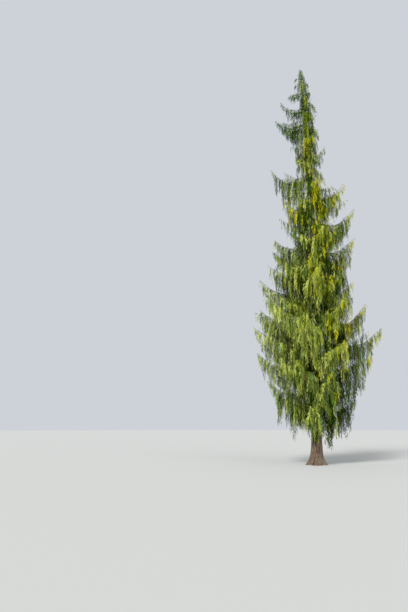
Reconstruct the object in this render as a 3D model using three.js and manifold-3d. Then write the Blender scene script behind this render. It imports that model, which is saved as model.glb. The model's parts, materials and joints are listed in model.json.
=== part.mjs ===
// A weeping Nootka cypress: a tall, slender conifer with one straight trunk, boughs that dip and sweep up
// at their tips, and flat sprays that hang from them in curtains. The top is a thin spire with short boughs.
// Sizes are in millimetres and angles in degrees. +Z is up, and the origin is the middle of the flat cut
// under the trunk, at ground level. Heading 0 points along +X and 90 along +Y.
import * as THREE from "three";
import { mergeVertices } from "three/addons/utils/BufferGeometryUtils.js";
import Module from "manifold-3d";

const wasm = await Module();
wasm.setup();

// The trunk, from its cut at the ground to the foot of the leader
const TREE_HEIGHT = 16200;
const TRUNK_TOP = 15350;
const TRUNK_RADIUS = 205;
const TRUNK_TIP_RADIUS = 11;
const TRUNK_TAPER = 0.88;
const TRUNK_BOW = 190;
const TRUNK_LEAN = -100;
const TRUNK_SWAY = 70;
const TRUNK_SIDES = 12;
const TRUNK_STEP = 1450;
const FLARE_HEIGHTS = [0, 90, 230, 480, 900];
const FLARE_RADIUS = 165;
const FLARE_FADE = 230;
const ROOT_LOBES = 4;
const ROOT_LOBE_DEPTH = 0.16;

// Each bough: the height of its foot, its heading, its reach from the trunk's middle, how far its tip ends
// above its foot, and the length of the sprays that hang from its middle
const BOUGHS = [
  [2000, 262, 1400, 100, 1150],
  [2200, 25, 1650, 200, 1250],
  [2450, 140, 1800, 200, 1300],
  [2800, 200, 1850, 250, 1300],
  [3050, 292, 1450, 380, 1250],
  [3250, 75, 2000, 250, 1300],
  [3550, 240, 1950, 300, 1300],
  [3800, 345, 2050, 250, 1300],
  [3950, 178, 2350, 300, 1350],
  [4250, 298, 1750, 300, 1300],
  [4500, 112, 2150, 300, 1300],
  [4750, 14, 2500, 350, 1350],
  [4850, 203, 2400, 280, 1350],
  [5200, 262, 1950, 300, 1350],
  [5600, 21, 2290, 640, 1300],
  [5700, 165, 2350, 370, 1350],
  [5850, 222, 2350, 300, 1300],
  [5950, 320, 1750, 300, 1250],
  [6400, 75, 2050, 250, 1300],
  [6500, 350, 1430, 350, 1150],
  [6700, 184, 2100, 350, 1250],
  [7100, 268, 1700, 200, 1300],
  [7400, 40, 1900, 250, 1250],
  [7650, 222, 1750, 230, 1250],
  [7950, 130, 1750, 250, 1200],
  [8250, 350, 1530, 330, 1200],
  [8500, 183, 1500, 230, 1150],
  [8850, 288, 1300, 200, 1200],
  [9050, 80, 1500, 230, 1150],
  [9450, 8, 1620, 420, 1100],
  [9900, 208, 1220, 330, 1150],
  [10400, 345, 1280, 400, 900],
  [10500, 120, 1100, 100, 1100],
  [10900, 290, 850, 0, 1050],
  [11250, 175, 1500, 450, 1000],
  [11750, 5, 560, -800, 400],
  [11950, 240, 650, -100, 1000],
  [12250, 350, 660, 150, 450],
  [12650, 125, 560, -150, 900],
  [12950, 290, 560, -150, 850],
  [13600, 12, 470, -560, 500],
  [13650, 180, 1180, 180, 600],
  [13850, 95, 450, -180, 750],
  [14150, 300, 430, -420, 600],
  [14250, 190, 930, 320, 400],
  [14700, 350, 510, -760, 420],
  [14700, 85, 330, -220, 600],
  [14850, 285, 300, -200, 550],
  [15100, 185, 540, -280, 300],
  [15200, 20, 220, -220, 450],
];
// Boughs of this reach or more are limbs of their own, bare up to where their foliage begins
const MAIN_REACH = 2100;
const BARE_SHARE = 0.34;
const BOUGH_DIP = 0.16;
const BOUGH_SWING = 12;
const BOUGH_RADIUS_PER_REACH = 0.021;
const BOUGH_TIP_RADIUS = 9;
const BOUGH_LEAST_RADIUS = 8;
const COLLAR_SWELL = 0.45;
const COLLAR_FADE = 90;
const LIMB_SIDES = 6;
const LIMB_STEPS = 3;
// The share of a limb's line over which its direction is read
const LINE_STEP = 0.01;
// The share of a step by which the corners of a limb are turned so that a flat face is below
const FLAT_BELOW = { 3: 0, 4: 0.5, 6: 0.5 };
const JOINT_GAP = 0.3;

// How many straight stretches stand for a limb where the space round it is kept free
const TRUNK_STRETCHES = 16;
const TRUNK_CLEARANCE = 10;
const BOUGH_STRETCHES = 8;

// Foliage: a stem, side twigs and hanging sprays, with their spacing along the stem
const FOLIAGE_START = 60;
const STEM_LEAST_SHARE = 0.04;
const STEM_SIDES = 4;
const STEM_SHARE = 0.95;
const LEAFY_TIP_RADIUS = 18;
const TWIG_CHANCE = 0.22;
const SHORT_REACH = 900;
const TWIG_LEAST_REACH = 1400;
const TWIG_LENGTH = 330;
const TWIG_ANGLE = 62;
const TWIG_ANGLE_SCATTER = 16;
const TWIG_DROOP = 0.2;
const SPRAY_PLACE_ON_TWIG = 0.78;
const TWIG_RADIUS = 12;
const TWIG_TO_BOUGH_RADIUS = 0.6;
const TWIG_TAPER = 0.1;
// The share of a twig within its stem's own room
const TWIG_IN_STEM = 0.3;
const SPRAY_SPACING = 120;
const SPACING_PER_REACH = 0.1;
const SPRAY_TWIST = 40;
// Where the sprays of the two sides stand in each stretch of the stem, and how far they stray from there
const SIDE_STAGGER = 0.28;
const PLACE_SCATTER = 0.1;
// The part of the drape that every bough has at its tip, and where on the curve of lengths it starts
const DRAPE_LEAST = 0.28;
const DRAPE_START = 0.24;
const DROP_LEAST = 0.82;
const DROP_SCATTER = 0.35;
// How much of its length a spray is tried with, where its space isn't free
const SPRAY_TRIES = [1, 0.72, 0.5];
const SPRAY_WIDTH_PER_LENGTH = 0.155;
const SPRAY_LEAST_HALF_WIDTH = 60;
const SPRAY_LEAST_LENGTH = 170;
// How far a spray arches out before it hangs: to the side, on a twig, and right below the stem
const SIDE_SPRAY_OFFSET = 330;
const OFFSET_LEAST = 0.3;
const FULL_OFFSET_DROP = 1100;
const OFFSET_SCATTER = 0.6;
const TWIG_SPRAY_OFFSET = 60;
const BELOW_SPRAY_OFFSET = 25;
const ROOT_DEPTH = 2;
const GROUND_GAP = 320;
const SPACE_GAP = 14;
const OWN_OVERLAP = -30;
const ANY_OVERLAP = -1000;
// A spray's rings between its root and its tip: how far along, its left and right edge, and its ridge,
// as shares of the spray's length and its half width
const SPRAY_RINGS = [
  [0.1, 0.85, 0.4, 0.42],
  [0.38, 0.42, 1, 0.34],
  [0.68, 0.8, 0.3, 0.26],
];
// How much steeper a spray falls for its offset, and how much of its width its room holds
const SPRAY_ARCH = 0.6;
const SPRAY_ROOM = 0.42;

// The leader, the thin nodding shoot above the trunk
const LEADER_RADIUS = 10;
const LEADER_NOD = -75;
const LEADER_STEPS = 4;
const LEADER_TAPER = 0.6;
// Where the two sprigs of each stretch stand, and how long and how far out they are at the leader's tip,
// with what is added towards its foot
const SPRIG_PLACES = [0.3, 0.7];
const SPRIG_LENGTH = 200;
const SPRIG_LENGTH_GROWTH = 240;
const SPRIG_LENGTH_LEAST = 0.6;
const SPRIG_OFFSET = 50;
const SPRIG_OFFSET_GROWTH = 110;
// The turn from one sprig of the leader to the next
const LEADER_TURN = 137.5;

const FOLIAGE_SEED = 11;
const FOLIAGE_SEED_STEP = 977;
const SWING_SEED = 301;
const LEADER_SEED = 5;

// The foliage is deep green above and below these heights, and golden from the middle one up
const DEEP_ABOVE = 12600;
const DEEP_BELOW = 3200;
const GOLDEN_ABOVE = 6800;

const BARK = new THREE.MeshStandardMaterial({ color: 0x6b5442, roughness: 0.95, metalness: 0 });
const GOLDEN_GREEN = new THREE.MeshStandardMaterial({ color: 0x8d9a32, roughness: 0.8, metalness: 0 });
const SAGE_GREEN = new THREE.MeshStandardMaterial({ color: 0x75893f, roughness: 0.8, metalness: 0 });
const DEEP_GREEN = new THREE.MeshStandardMaterial({ color: 0x4c6a33, roughness: 0.8, metalness: 0 });

// A repeatable stream of numbers from 0 to 1
function seededRandom(seed) {
  let state = seed >>> 0;
  return () => {
    state = (state + 0x6d2b79f5) >>> 0;
    let mixed = Math.imul(state ^ (state >>> 15), state | 1);
    mixed ^= mixed + Math.imul(mixed ^ (mixed >>> 7), mixed | 61);
    return ((mixed ^ (mixed >>> 14)) >>> 0) / 4294967296;
  };
}

const radians = THREE.MathUtils.degToRad;

function heading(angle) {
  return new THREE.Vector3(Math.cos(radians(angle)), Math.sin(radians(angle)), 0);
}

function trunkCentre(height) {
  const share = height / TREE_HEIGHT;
  const x = TRUNK_BOW * Math.sin(Math.PI * share) + TRUNK_LEAN * share * share;
  const y = TRUNK_SWAY * Math.sin(2 * Math.PI * share);
  return new THREE.Vector3(x, y, height);
}

function trunkRadius(height) {
  const left = Math.max(0, 1 - height / TREE_HEIGHT);
  return TRUNK_TIP_RADIUS + (TRUNK_RADIUS - TRUNK_TIP_RADIUS) * left ** TRUNK_TAPER;
}

function flareRadius(height, angle) {
  const flare = Math.exp(-height / FLARE_FADE);
  const lobes = 1 + ROOT_LOBE_DEPTH * Math.cos(ROOT_LOBES * angle) * flare;
  return (trunkRadius(height) + FLARE_RADIUS * flare) * lobes;
}

// Corners closer than this are one corner, and a corner closer to the axis than this is on it
const WELD_DISTANCE = 1e-3;
const ON_AXIS = 1e-6;

// A closed solid for the library that joins and cuts, from a three.js geometry
function solidOf(geometry) {
  const bare = geometry.clone();
  bare.deleteAttribute("normal");
  bare.deleteAttribute("uv");
  const merged = mergeVertices(bare, WELD_DISTANCE);
  const made = new wasm.Mesh({
    numProp: 3,
    vertProperties: new Float32Array(merged.attributes.position.array),
    triVerts: new Uint32Array(merged.index.array),
  });
  return new wasm.Manifold(made);
}

function geometryOf(solid) {
  const made = solid.getMesh();
  const geometry = new THREE.BufferGeometry();
  geometry.setAttribute("position", new THREE.BufferAttribute(made.vertProperties, 3));
  geometry.setIndex(new THREE.BufferAttribute(made.triVerts, 1));
  geometry.computeVertexNormals();
  return geometry;
}

// Bends an upright cylinder or cone: sectionAt(station, corner) places each corner of each ring, where
// station runs from 0 at the foot to 1 at the top. The middles of the end faces take corner -1.
function bent(upright, sides, sectionAt) {
  const position = upright.attributes.position;
  for (let i = 0; i < position.count; i += 1) {
    const x = position.getX(i);
    const z = position.getZ(i);
    const station = position.getY(i) + 0.5;
    const turn = Math.atan2(x, z) / (2 * Math.PI);
    const corner = Math.hypot(x, z) < ON_AXIS ? -1 : Math.round(turn * sides + sides) % sides;
    const place = sectionAt(station, corner);
    position.setXYZ(i, place.x, place.y, place.z);
  }
  return upright;
}

// A limb along a line, with a radius at each share of its length. A pointed one ends in a tip.
function limbSolid(lineAt, radiusAt, sides, steps, pointed) {
  const upright = pointed
    ? new THREE.ConeGeometry(1, 1, sides, steps)
    : new THREE.CylinderGeometry(1, 1, 1, sides, steps);
  const limb = bent(upright, sides, (station, corner) => {
    const centre = lineAt(station);
    if (corner < 0) return centre;
    const ahead = lineAt(Math.min(1, station + LINE_STEP));
    const behind = lineAt(Math.max(0, station - LINE_STEP));
    const along = ahead.sub(behind).normalize();
    const side = new THREE.Vector3(along.y, -along.x, 0).normalize();
    const over = new THREE.Vector3().crossVectors(side, along);
    const angle = (2 * Math.PI * (corner + FLAT_BELOW[sides])) / sides;
    return centre
      .addScaledVector(over, radiusAt(station) * Math.cos(angle))
      .addScaledVector(side, radiusAt(station) * Math.sin(angle));
  });
  return solidOf(limb);
}

// The trunk, grown by a clearance where other pieces are cut to fit round it
function trunkSolid(clearance) {
  const heights = [...FLARE_HEIGHTS];
  const steps = Math.round((TRUNK_TOP - heights.at(-1)) / TRUNK_STEP);
  const climb = (TRUNK_TOP - heights.at(-1)) / steps;
  for (let i = 0; i < steps; i += 1) heights.push(heights.at(-1) + climb);
  const rings = heights.length - 1;
  const upright = new THREE.CylinderGeometry(1, 1, 1, TRUNK_SIDES, rings);
  const trunk = bent(upright, TRUNK_SIDES, (station, corner) => {
    const height = heights[Math.round(station * rings)];
    const centre = trunkCentre(height);
    if (corner < 0) return centre;
    const angle = (2 * Math.PI * corner) / TRUNK_SIDES;
    const radius = flareRadius(height, angle) + clearance;
    return centre.add(new THREE.Vector3(radius * Math.cos(angle), radius * Math.sin(angle), 0));
  });
  return solidOf(trunk);
}

// The line of a bough: out from the trunk's middle, down in a shallow dip and up again to its tip
function boughLine(bough) {
  return (share) => {
    const angle = bough.heading + bough.swing * share * share;
    const point = trunkCentre(bough.foot).addScaledVector(heading(angle), bough.reach * share);
    point.z += bough.lift * share ** 3 - BOUGH_DIP * bough.reach * Math.sin(Math.PI * share);
    return point;
  };
}

function boughRadius(bough) {
  const foot = BOUGH_RADIUS_PER_REACH * bough.reach + BOUGH_LEAST_RADIUS;
  return (share) => {
    const bare = Math.max(0, share * bough.reach - trunkRadius(bough.foot));
    const collar = 1 + COLLAR_SWELL * Math.exp(-bare / COLLAR_FADE);
    return BOUGH_TIP_RADIUS + (foot - BOUGH_TIP_RADIUS) * (1 - share) * collar;
  };
}

// How long the sprays are at each share of a bough's reach: longest in the middle, short at the tip
function drapeAt(bough, share) {
  const curve = Math.sin(Math.PI * (DRAPE_START + (1 - DRAPE_START) * share));
  return bough.drape * (DRAPE_LEAST + (1 - DRAPE_LEAST) * curve);
}

// The closest distance between the skins of two straight, round stretches
function distanceBetween(a, b) {
  const apart = new THREE.Vector3().subVectors(a.from, b.from);
  const u = new THREE.Vector3().subVectors(a.to, a.from);
  const v = new THREE.Vector3().subVectors(b.to, b.from);
  const uu = u.dot(u);
  const vv = v.dot(v);
  const uv = u.dot(v);
  const bend = Math.max(1, uu * vv - uv * uv);
  const clamp = THREE.MathUtils.clamp;
  let s = clamp((uv * v.dot(apart) - vv * u.dot(apart)) / bend, 0, 1);
  const t = clamp((uv * s + v.dot(apart)) / vv, 0, 1);
  s = clamp((uv * t - u.dot(apart)) / uu, 0, 1);
  return apart.addScaledVector(u, s).addScaledVector(v, -t).length() - a.radius - b.radius;
}

// The space taken so far: round stretches along limbs and sprays, each owned by one piece
const taken = [];

function stretch(from, to, radius, owner) {
  return { from, to, radius, owner };
}

function isFree(wanted, ownGap) {
  return wanted.every((a) =>
    taken.every((b) => distanceBetween(a, b) > (a.owner === b.owner ? ownGap : SPACE_GAP)),
  );
}

function stretchesAlong(lineAt, radiusAt, from, to, count, owner) {
  return Array.from({ length: count }, (_, i) => {
    const near = from + ((to - from) * i) / count;
    const far = from + ((to - from) * (i + 1)) / count;
    return stretch(lineAt(near), lineAt(far), radiusAt(near), owner);
  });
}

// A spray is a blade with a ridge and a toothed outline. It leaves its root sideways, arches over and
// hangs straight down.
function sprayShape(root, out, offset, length, across) {
  const half = Math.max(SPRAY_LEAST_HALF_WIDTH, SPRAY_WIDTH_PER_LENGTH * length);
  const facing = new THREE.Vector3(across.y, -across.x, 0);
  const steep = 1 + (SPRAY_ARCH * offset) / length;
  const lineAt = (share) => {
    const point = root.clone().addScaledVector(out, offset * (1 - (1 - share) ** 3));
    point.z += ROOT_DEPTH - (length + ROOT_DEPTH) * share ** steep;
    return point;
  };
  return { lineAt, across, facing, half, length };
}

function spraySolid(spray) {
  const rings = SPRAY_RINGS.length + 1;
  const upright = new THREE.SphereGeometry(1, 3, rings);
  const position = upright.attributes.position;
  for (let i = 0; i < position.count; i += 1) {
    const ring = Math.round((Math.acos(THREE.MathUtils.clamp(position.getY(i), -1, 1)) * rings) / Math.PI);
    const corner = Math.round((Math.atan2(position.getZ(i), -position.getX(i)) * 3) / (2 * Math.PI) + 3) % 3;
    const [share, left, right, ridge] = SPRAY_RINGS[ring - 1] ?? [ring / rings, 0, 0, 0];
    const place = spray.lineAt(share);
    if (corner === 0) place.addScaledVector(spray.across, spray.half * right);
    if (corner === 1) place.addScaledVector(spray.across, -spray.half * left);
    if (corner === 2) place.addScaledVector(spray.facing, spray.half * ridge);
    position.setXYZ(i, place.x, place.y, place.z);
  }
  return solidOf(upright);
}

function sprayStretches(spray, owner) {
  return SPRAY_RINGS.map(([share, left, right], ring) => {
    const next = SPRAY_RINGS[ring + 1]?.[0] ?? 1;
    const middle = (0.5 * (right - left)) * spray.half;
    const from = spray.lineAt(share).addScaledVector(spray.across, middle);
    return stretch(from, spray.lineAt(next), SPRAY_ROOM * (left + right) * spray.half, owner);
  });
}

// Hangs a spray on a mass where its space is free, shortened where that is needed
function hangSpray(mass, root, out, offset, length, across) {
  for (const share of SPRAY_TRIES) {
    const drop = Math.min(length * share, root.z - GROUND_GAP);
    if (drop < SPRAY_LEAST_LENGTH) return;
    const spray = sprayShape(root, out, offset, drop, across);
    const wanted = sprayStretches(spray, mass.owner);
    if (isFree(wanted, OWN_OVERLAP)) {
      taken.push(...wanted);
      mass.solids.push(spraySolid(spray));
      return;
    }
  }
}

// A point on the straight chord between two rings of a limb
function onChord(lineAt, steps, ring, part) {
  return lineAt(ring / steps).lerp(lineAt((ring + 1) / steps), part);
}

function turned(vector, angle) {
  return vector.clone().applyAxisAngle(new THREE.Vector3(0, 0, 1), radians(angle));
}

// A side twig that leaves the stem at an angle and droops, with a spray near its end
function growTwig(mass, root, out, slope, radius, drop, across) {
  const tip = root.clone().add(out.clone().multiplyScalar(TWIG_LENGTH)).add(slope);
  const twigLine = (part) => root.clone().lerp(tip, part);
  const wanted = stretchesAlong(twigLine, () => radius, TWIG_IN_STEM, 1, 1, mass.owner);
  if (!isFree(wanted, ANY_OVERLAP)) return;
  taken.push(...wanted);
  mass.solids.push(limbSolid(twigLine, (part) => radius * (1 - TWIG_TAPER * part), 3, 1, false));
  hangSpray(mass, twigLine(SPRAY_PLACE_ON_TWIG), out, TWIG_SPRAY_OFFSET, drop, across);
}

// All the foliage of one bough, from where it starts to the bough's tip. The stem bends only at its rings.
// Each stretch between two rings holds a spray below and one to each side, some of them on twigs.
function growMass(bough, start, lineAt, radiusAt) {
  const random = seededRandom(bough.index * FOLIAGE_SEED_STEP + FOLIAGE_SEED);
  const first = Math.max(start + STEM_LEAST_SHARE, (trunkRadius(bough.foot) + FOLIAGE_START) / bough.reach);
  const leafy = bough.reach * (1 - first);
  const spacing = SPRAY_SPACING + SPACING_PER_REACH * bough.reach;
  const stretches = Math.max(2, Math.round(leafy / spacing));
  const steps = stretches + 1;
  const shareAt = (part) => {
    const ring = part * steps;
    return ring < 1 ? start + (first - start) * ring : first + ((1 - first) * (ring - 1)) / stretches;
  };
  const stemLine = (part) => lineAt(shareAt(part));
  const stemRadius = (part) => {
    const leafyTip = LEAFY_TIP_RADIUS * Math.max(0, part * steps - stretches + 1);
    return radiusAt(shareAt(part)) * STEM_SHARE + leafyTip;
  };
  const mass = { owner: bough.index, solids: [limbSolid(stemLine, stemRadius, STEM_SIDES, steps, true)] };
  for (const side of [0, 1, -1]) {
    for (let ring = 1; ring < steps; ring += 1) {
      const part = 0.5 + SIDE_STAGGER * side + PLACE_SCATTER * (random() - 0.5);
      const share = shareAt((ring + part) / steps);
      const ahead = heading(bough.heading + bough.swing * share * share);
      const out = turned(ahead, side * (TWIG_ANGLE + TWIG_ANGLE_SCATTER * (random() - 0.5)));
      const twist = SPRAY_TWIST * 2 * (random() - 0.5);
      const drop = drapeAt(bough, share) * (DROP_LEAST + DROP_SCATTER * random());
      const offsetShare = Math.min(1, OFFSET_LEAST + drop / FULL_OFFSET_DROP);
      const reach = SIDE_SPRAY_OFFSET * offsetShare * (OFFSET_SCATTER + OFFSET_SCATTER * random());
      const onTwig = random() < TWIG_CHANCE;
      const root = onChord(stemLine, steps, ring, part);
      const across = turned(side ? out : ahead, twist);
      if (side === 0) hangSpray(mass, root, out, BELOW_SPRAY_OFFSET, drop, across);
      else if (ring === steps - 1 && bough.reach > SHORT_REACH) continue;
      else if (onTwig && bough.reach > TWIG_LEAST_REACH) {
        const slope = new THREE.Vector3(0, 0, -TWIG_DROOP * reach);
        const radius = Math.min(TWIG_RADIUS, TWIG_TO_BOUGH_RADIUS * radiusAt(share));
        growTwig(mass, root, out, slope, radius, drop, across);
      } else hangSpray(mass, root, out, reach, drop, across);
    }
  }
  return mass;
}

// The leader and its short sprigs
function growLeader() {
  const random = seededRandom(LEADER_SEED);
  const foot = trunkCentre(TRUNK_TOP);
  const length = TREE_HEIGHT - TRUNK_TOP - JOINT_GAP;
  const lineAt = (share) =>
    new THREE.Vector3(foot.x + LEADER_NOD * share * share, foot.y, foot.z + JOINT_GAP + length * share);
  const radiusAt = (share) => LEADER_RADIUS * (1 - LEADER_TAPER * share);
  const mass = { owner: "leader", solids: [limbSolid(lineAt, radiusAt, 4, LEADER_STEPS, true)] };
  for (let ring = 0; ring < LEADER_STEPS; ring += 1) {
    for (const [order, part] of SPRIG_PLACES.entries()) {
      const share = (ring + part) / LEADER_STEPS;
      const out = heading(LEADER_TURN * (2 * ring + order) + 180);
      const growth = SPRIG_LENGTH_LEAST + (1 - SPRIG_LENGTH_LEAST) * random();
      const drop = SPRIG_LENGTH + SPRIG_LENGTH_GROWTH * (1 - share) * growth;
      const root = onChord(lineAt, LEADER_STEPS, ring, part);
      hangSpray(mass, root, out, SPRIG_OFFSET + SPRIG_OFFSET_GROWTH * (1 - share), drop, out);
    }
  }
  return mass;
}

function fused(solids) {
  return solids.slice(1).reduce((whole, solid) => whole.add(solid), solids[0]);
}

function largestBody(solid) {
  return solid.decompose().reduce((best, body) => (body.volume() > best.volume() ? body : best));
}

function meshOf(name, solid, material) {
  const mesh = new THREE.Mesh(geometryOf(solid), material);
  mesh.name = name;
  return mesh;
}

function foliageColour(bough) {
  if (bough.foot > DEEP_ABOVE || bough.foot < DEEP_BELOW) return DEEP_GREEN;
  return bough.foot > GOLDEN_ABOVE ? GOLDEN_GREEN : SAGE_GREEN;
}

const tree = new THREE.Group();
tree.add(meshOf("trunk", trunkSolid(0), BARK));
const trunkRoom = trunkSolid(JOINT_GAP);
const clearTrunk = (height) => trunkRadius(height) + TRUNK_CLEARANCE;
taken.push(...stretchesAlong(trunkCentre, clearTrunk, 0, TRUNK_TOP, TRUNK_STRETCHES, "trunk"));

const boughs = BOUGHS.map(([foot, angle, reach, lift, drape], i) => {
  const swing = BOUGH_SWING * 2 * (seededRandom(i + SWING_SEED)() - 0.5);
  return { index: i + 1, foot, heading: angle, reach, lift, drape, swing };
});
for (const bough of boughs) {
  const start = trunkRadius(bough.foot) / bough.reach;
  taken.push(...stretchesAlong(boughLine(bough), boughRadius(bough), start, 1, BOUGH_STRETCHES, bough.index));
}
for (const bough of boughs) {
  const lineAt = boughLine(bough);
  const radiusAt = boughRadius(bough);
  const number = String(bough.index).padStart(2, "0");
  const bare = bough.reach >= MAIN_REACH;
  if (bare) {
    const limbLine = (share) => lineAt(share * BARE_SHARE);
    const limb = limbSolid(limbLine, (share) => radiusAt(share * BARE_SHARE), LIMB_SIDES, LIMB_STEPS, false);
    tree.add(meshOf(`bough_${number}`, largestBody(limb.subtract(trunkRoom)), BARK));
  }
  const start = bare ? BARE_SHARE + JOINT_GAP / bough.reach : 0;
  const mass = growMass(bough, start, lineAt, radiusAt);
  const whole = largestBody(fused(mass.solids).subtract(trunkRoom));
  tree.add(meshOf(`foliage_${number}`, whole, foliageColour(bough)));
}
tree.add(meshOf("leader", largestBody(fused(growLeader().solids)), DEEP_GREEN));

export default tree;
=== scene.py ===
# The looks of a weeping Nootka cypress: bark, boughs, twigs and hanging sprays, on a plain pale stage.
# Sizes are in metres and angles in degrees. The tree is grown by the same seeded rule as its solids, and
# then carried on to finer strands and sprigs within the same reach.
import functools
import json
import math
from typing import NamedTuple

import bpy
import numpy as np
from bpy.props import FloatProperty, FloatVectorProperty, PointerProperty
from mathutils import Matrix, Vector, noise


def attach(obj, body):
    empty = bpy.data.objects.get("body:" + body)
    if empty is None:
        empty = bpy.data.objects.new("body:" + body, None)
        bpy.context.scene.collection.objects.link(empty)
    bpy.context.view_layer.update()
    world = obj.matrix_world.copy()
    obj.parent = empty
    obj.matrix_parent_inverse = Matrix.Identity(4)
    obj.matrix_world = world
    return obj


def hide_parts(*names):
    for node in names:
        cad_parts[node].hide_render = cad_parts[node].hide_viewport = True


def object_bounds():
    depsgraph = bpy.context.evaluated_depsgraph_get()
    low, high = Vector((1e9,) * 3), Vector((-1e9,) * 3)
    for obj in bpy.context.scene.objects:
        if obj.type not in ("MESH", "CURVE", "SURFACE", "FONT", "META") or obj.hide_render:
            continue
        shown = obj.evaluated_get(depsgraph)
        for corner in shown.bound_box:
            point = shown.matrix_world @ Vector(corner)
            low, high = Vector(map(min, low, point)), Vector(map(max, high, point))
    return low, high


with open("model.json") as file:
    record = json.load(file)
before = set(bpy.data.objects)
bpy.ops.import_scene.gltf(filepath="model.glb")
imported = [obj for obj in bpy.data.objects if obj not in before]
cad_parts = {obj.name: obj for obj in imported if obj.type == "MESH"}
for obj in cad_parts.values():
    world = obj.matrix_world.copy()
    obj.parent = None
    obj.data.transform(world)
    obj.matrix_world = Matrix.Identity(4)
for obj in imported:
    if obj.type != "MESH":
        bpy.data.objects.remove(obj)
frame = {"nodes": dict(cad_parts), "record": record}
CAD_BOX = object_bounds()

bl_info = {
    "name": "Weeping Nootka Cypress",
    "version": (1, 0, 0),
    "blender": (4, 5, 0),
    "location": "3D View > Sidebar > Cypress",
    "description": "Bark, boughs, twigs and hanging sprays of a weeping Nootka cypress, on a plain stage",
    "category": "Add Mesh",
}

# The trunk
TREE_HEIGHT = 16.2
TRUNK_TOP = 15.35
TRUNK_RADIUS = 0.205
TRUNK_TIP_RADIUS = 0.011
TRUNK_TAPER = 0.88
TRUNK_BOW = 0.19
TRUNK_LEAN = -0.1
TRUNK_SWAY = 0.07
FLARE_RADIUS = 0.165
FLARE_FADE = 0.23
ROOT_LOBES = 4
ROOT_LOBE_DEPTH = 0.16

# Each bough: the height of its foot, its heading, its reach from the trunk's middle, how far its tip ends
# above its foot, and the length of the sprays that hang from its middle
BOUGHS = (
    (2.00, 262, 1.40, 0.10, 1.15),
    (2.20, 25, 1.65, 0.20, 1.25),
    (2.45, 140, 1.80, 0.20, 1.30),
    (2.80, 200, 1.85, 0.25, 1.30),
    (3.05, 292, 1.45, 0.38, 1.25),
    (3.25, 75, 2.00, 0.25, 1.30),
    (3.55, 240, 1.95, 0.30, 1.30),
    (3.80, 345, 2.05, 0.25, 1.30),
    (3.95, 178, 2.35, 0.30, 1.35),
    (4.25, 298, 1.75, 0.30, 1.30),
    (4.50, 112, 2.15, 0.30, 1.30),
    (4.75, 14, 2.50, 0.35, 1.35),
    (4.85, 203, 2.40, 0.28, 1.35),
    (5.20, 262, 1.95, 0.30, 1.35),
    (5.60, 21, 2.29, 0.64, 1.30),
    (5.70, 165, 2.35, 0.37, 1.35),
    (5.85, 222, 2.35, 0.30, 1.30),
    (5.95, 320, 1.75, 0.30, 1.25),
    (6.40, 75, 2.05, 0.25, 1.30),
    (6.50, 350, 1.43, 0.35, 1.15),
    (6.70, 184, 2.10, 0.35, 1.25),
    (7.10, 268, 1.70, 0.20, 1.30),
    (7.40, 40, 1.90, 0.25, 1.25),
    (7.65, 222, 1.75, 0.23, 1.25),
    (7.95, 130, 1.75, 0.25, 1.20),
    (8.25, 350, 1.53, 0.33, 1.20),
    (8.50, 183, 1.50, 0.23, 1.15),
    (8.85, 288, 1.30, 0.20, 1.20),
    (9.05, 80, 1.50, 0.23, 1.15),
    (9.45, 8, 1.62, 0.42, 1.10),
    (9.90, 208, 1.22, 0.33, 1.15),
    (10.40, 345, 1.28, 0.40, 0.90),
    (10.50, 120, 1.10, 0.10, 1.10),
    (10.90, 290, 0.85, 0.00, 1.05),
    (11.25, 175, 1.50, 0.45, 1.00),
    (11.75, 5, 0.56, -0.80, 0.40),
    (11.95, 240, 0.65, -0.10, 1.00),
    (12.25, 350, 0.66, 0.15, 0.45),
    (12.65, 125, 0.56, -0.15, 0.90),
    (12.95, 290, 0.56, -0.15, 0.85),
    (13.60, 12, 0.47, -0.56, 0.50),
    (13.65, 180, 1.18, 0.18, 0.60),
    (13.85, 95, 0.45, -0.18, 0.75),
    (14.15, 300, 0.43, -0.42, 0.60),
    (14.25, 190, 0.93, 0.32, 0.40),
    (14.70, 350, 0.51, -0.76, 0.42),
    (14.70, 85, 0.33, -0.22, 0.60),
    (14.85, 285, 0.30, -0.20, 0.55),
    (15.10, 185, 0.54, -0.28, 0.30),
    (15.20, 20, 0.22, -0.22, 0.45),
)
MAIN_REACH = 2.1
BARE_SHARE = 0.34
BOUGH_DIP = 0.16
# How far a bough wanders about its plain line, as a share of its reach, and the waves it wanders in, up and
# aside: how fast each turns along the bough, its strength, and how much of the bough's phase it takes
WANDER = 0.014
WAVES_UP = ((8.0, 1.0, 1.0), (17.0, 0.6, 2.1))
WAVES_ASIDE = ((7.0, 1.0, 3.3), (15.0, 0.6, 1.7))
PHASE_PER_BOUGH = 2.4
PHASE_PER_METRE = 7.0
BOUGH_SWING = 12
BOUGH_RADIUS_PER_REACH = 0.021
BOUGH_TIP_RADIUS = 0.009
BOUGH_LEAST_RADIUS = 0.008
COLLAR_SWELL = 0.45
COLLAR_FADE = 0.09
JOINT_GAP = 0.0003

# How many straight stretches stand for a limb where the space round it is kept free
TRUNK_STRETCHES = 16
TRUNK_CLEARANCE = 0.01
BOUGH_STRETCHES = 8

# Foliage: side twigs and hanging sprays, with their spacing along the stem
FOLIAGE_START = 0.06
STEM_LEAST_SHARE = 0.04
TWIG_CHANCE = 0.22
SHORT_REACH = 0.9
TWIG_LEAST_REACH = 1.4
TWIG_LENGTH = 0.33
TWIG_ANGLE = 62
TWIG_ANGLE_SCATTER = 16
TWIG_DROOP = 0.2
SPRAY_PLACE_ON_TWIG = 0.78
TWIG_RADIUS = 0.012
TWIG_TO_BOUGH_RADIUS = 0.6
# The share of a twig within its stem's own room
TWIG_IN_STEM = 0.3
SPRAY_SPACING = 0.12
SPACING_PER_REACH = 0.1
SPRAY_TWIST = 40
# Where the sprays of the two sides stand in each stretch of the stem, and how far they stray from there
SIDE_STAGGER = 0.28
PLACE_SCATTER = 0.1
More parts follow.
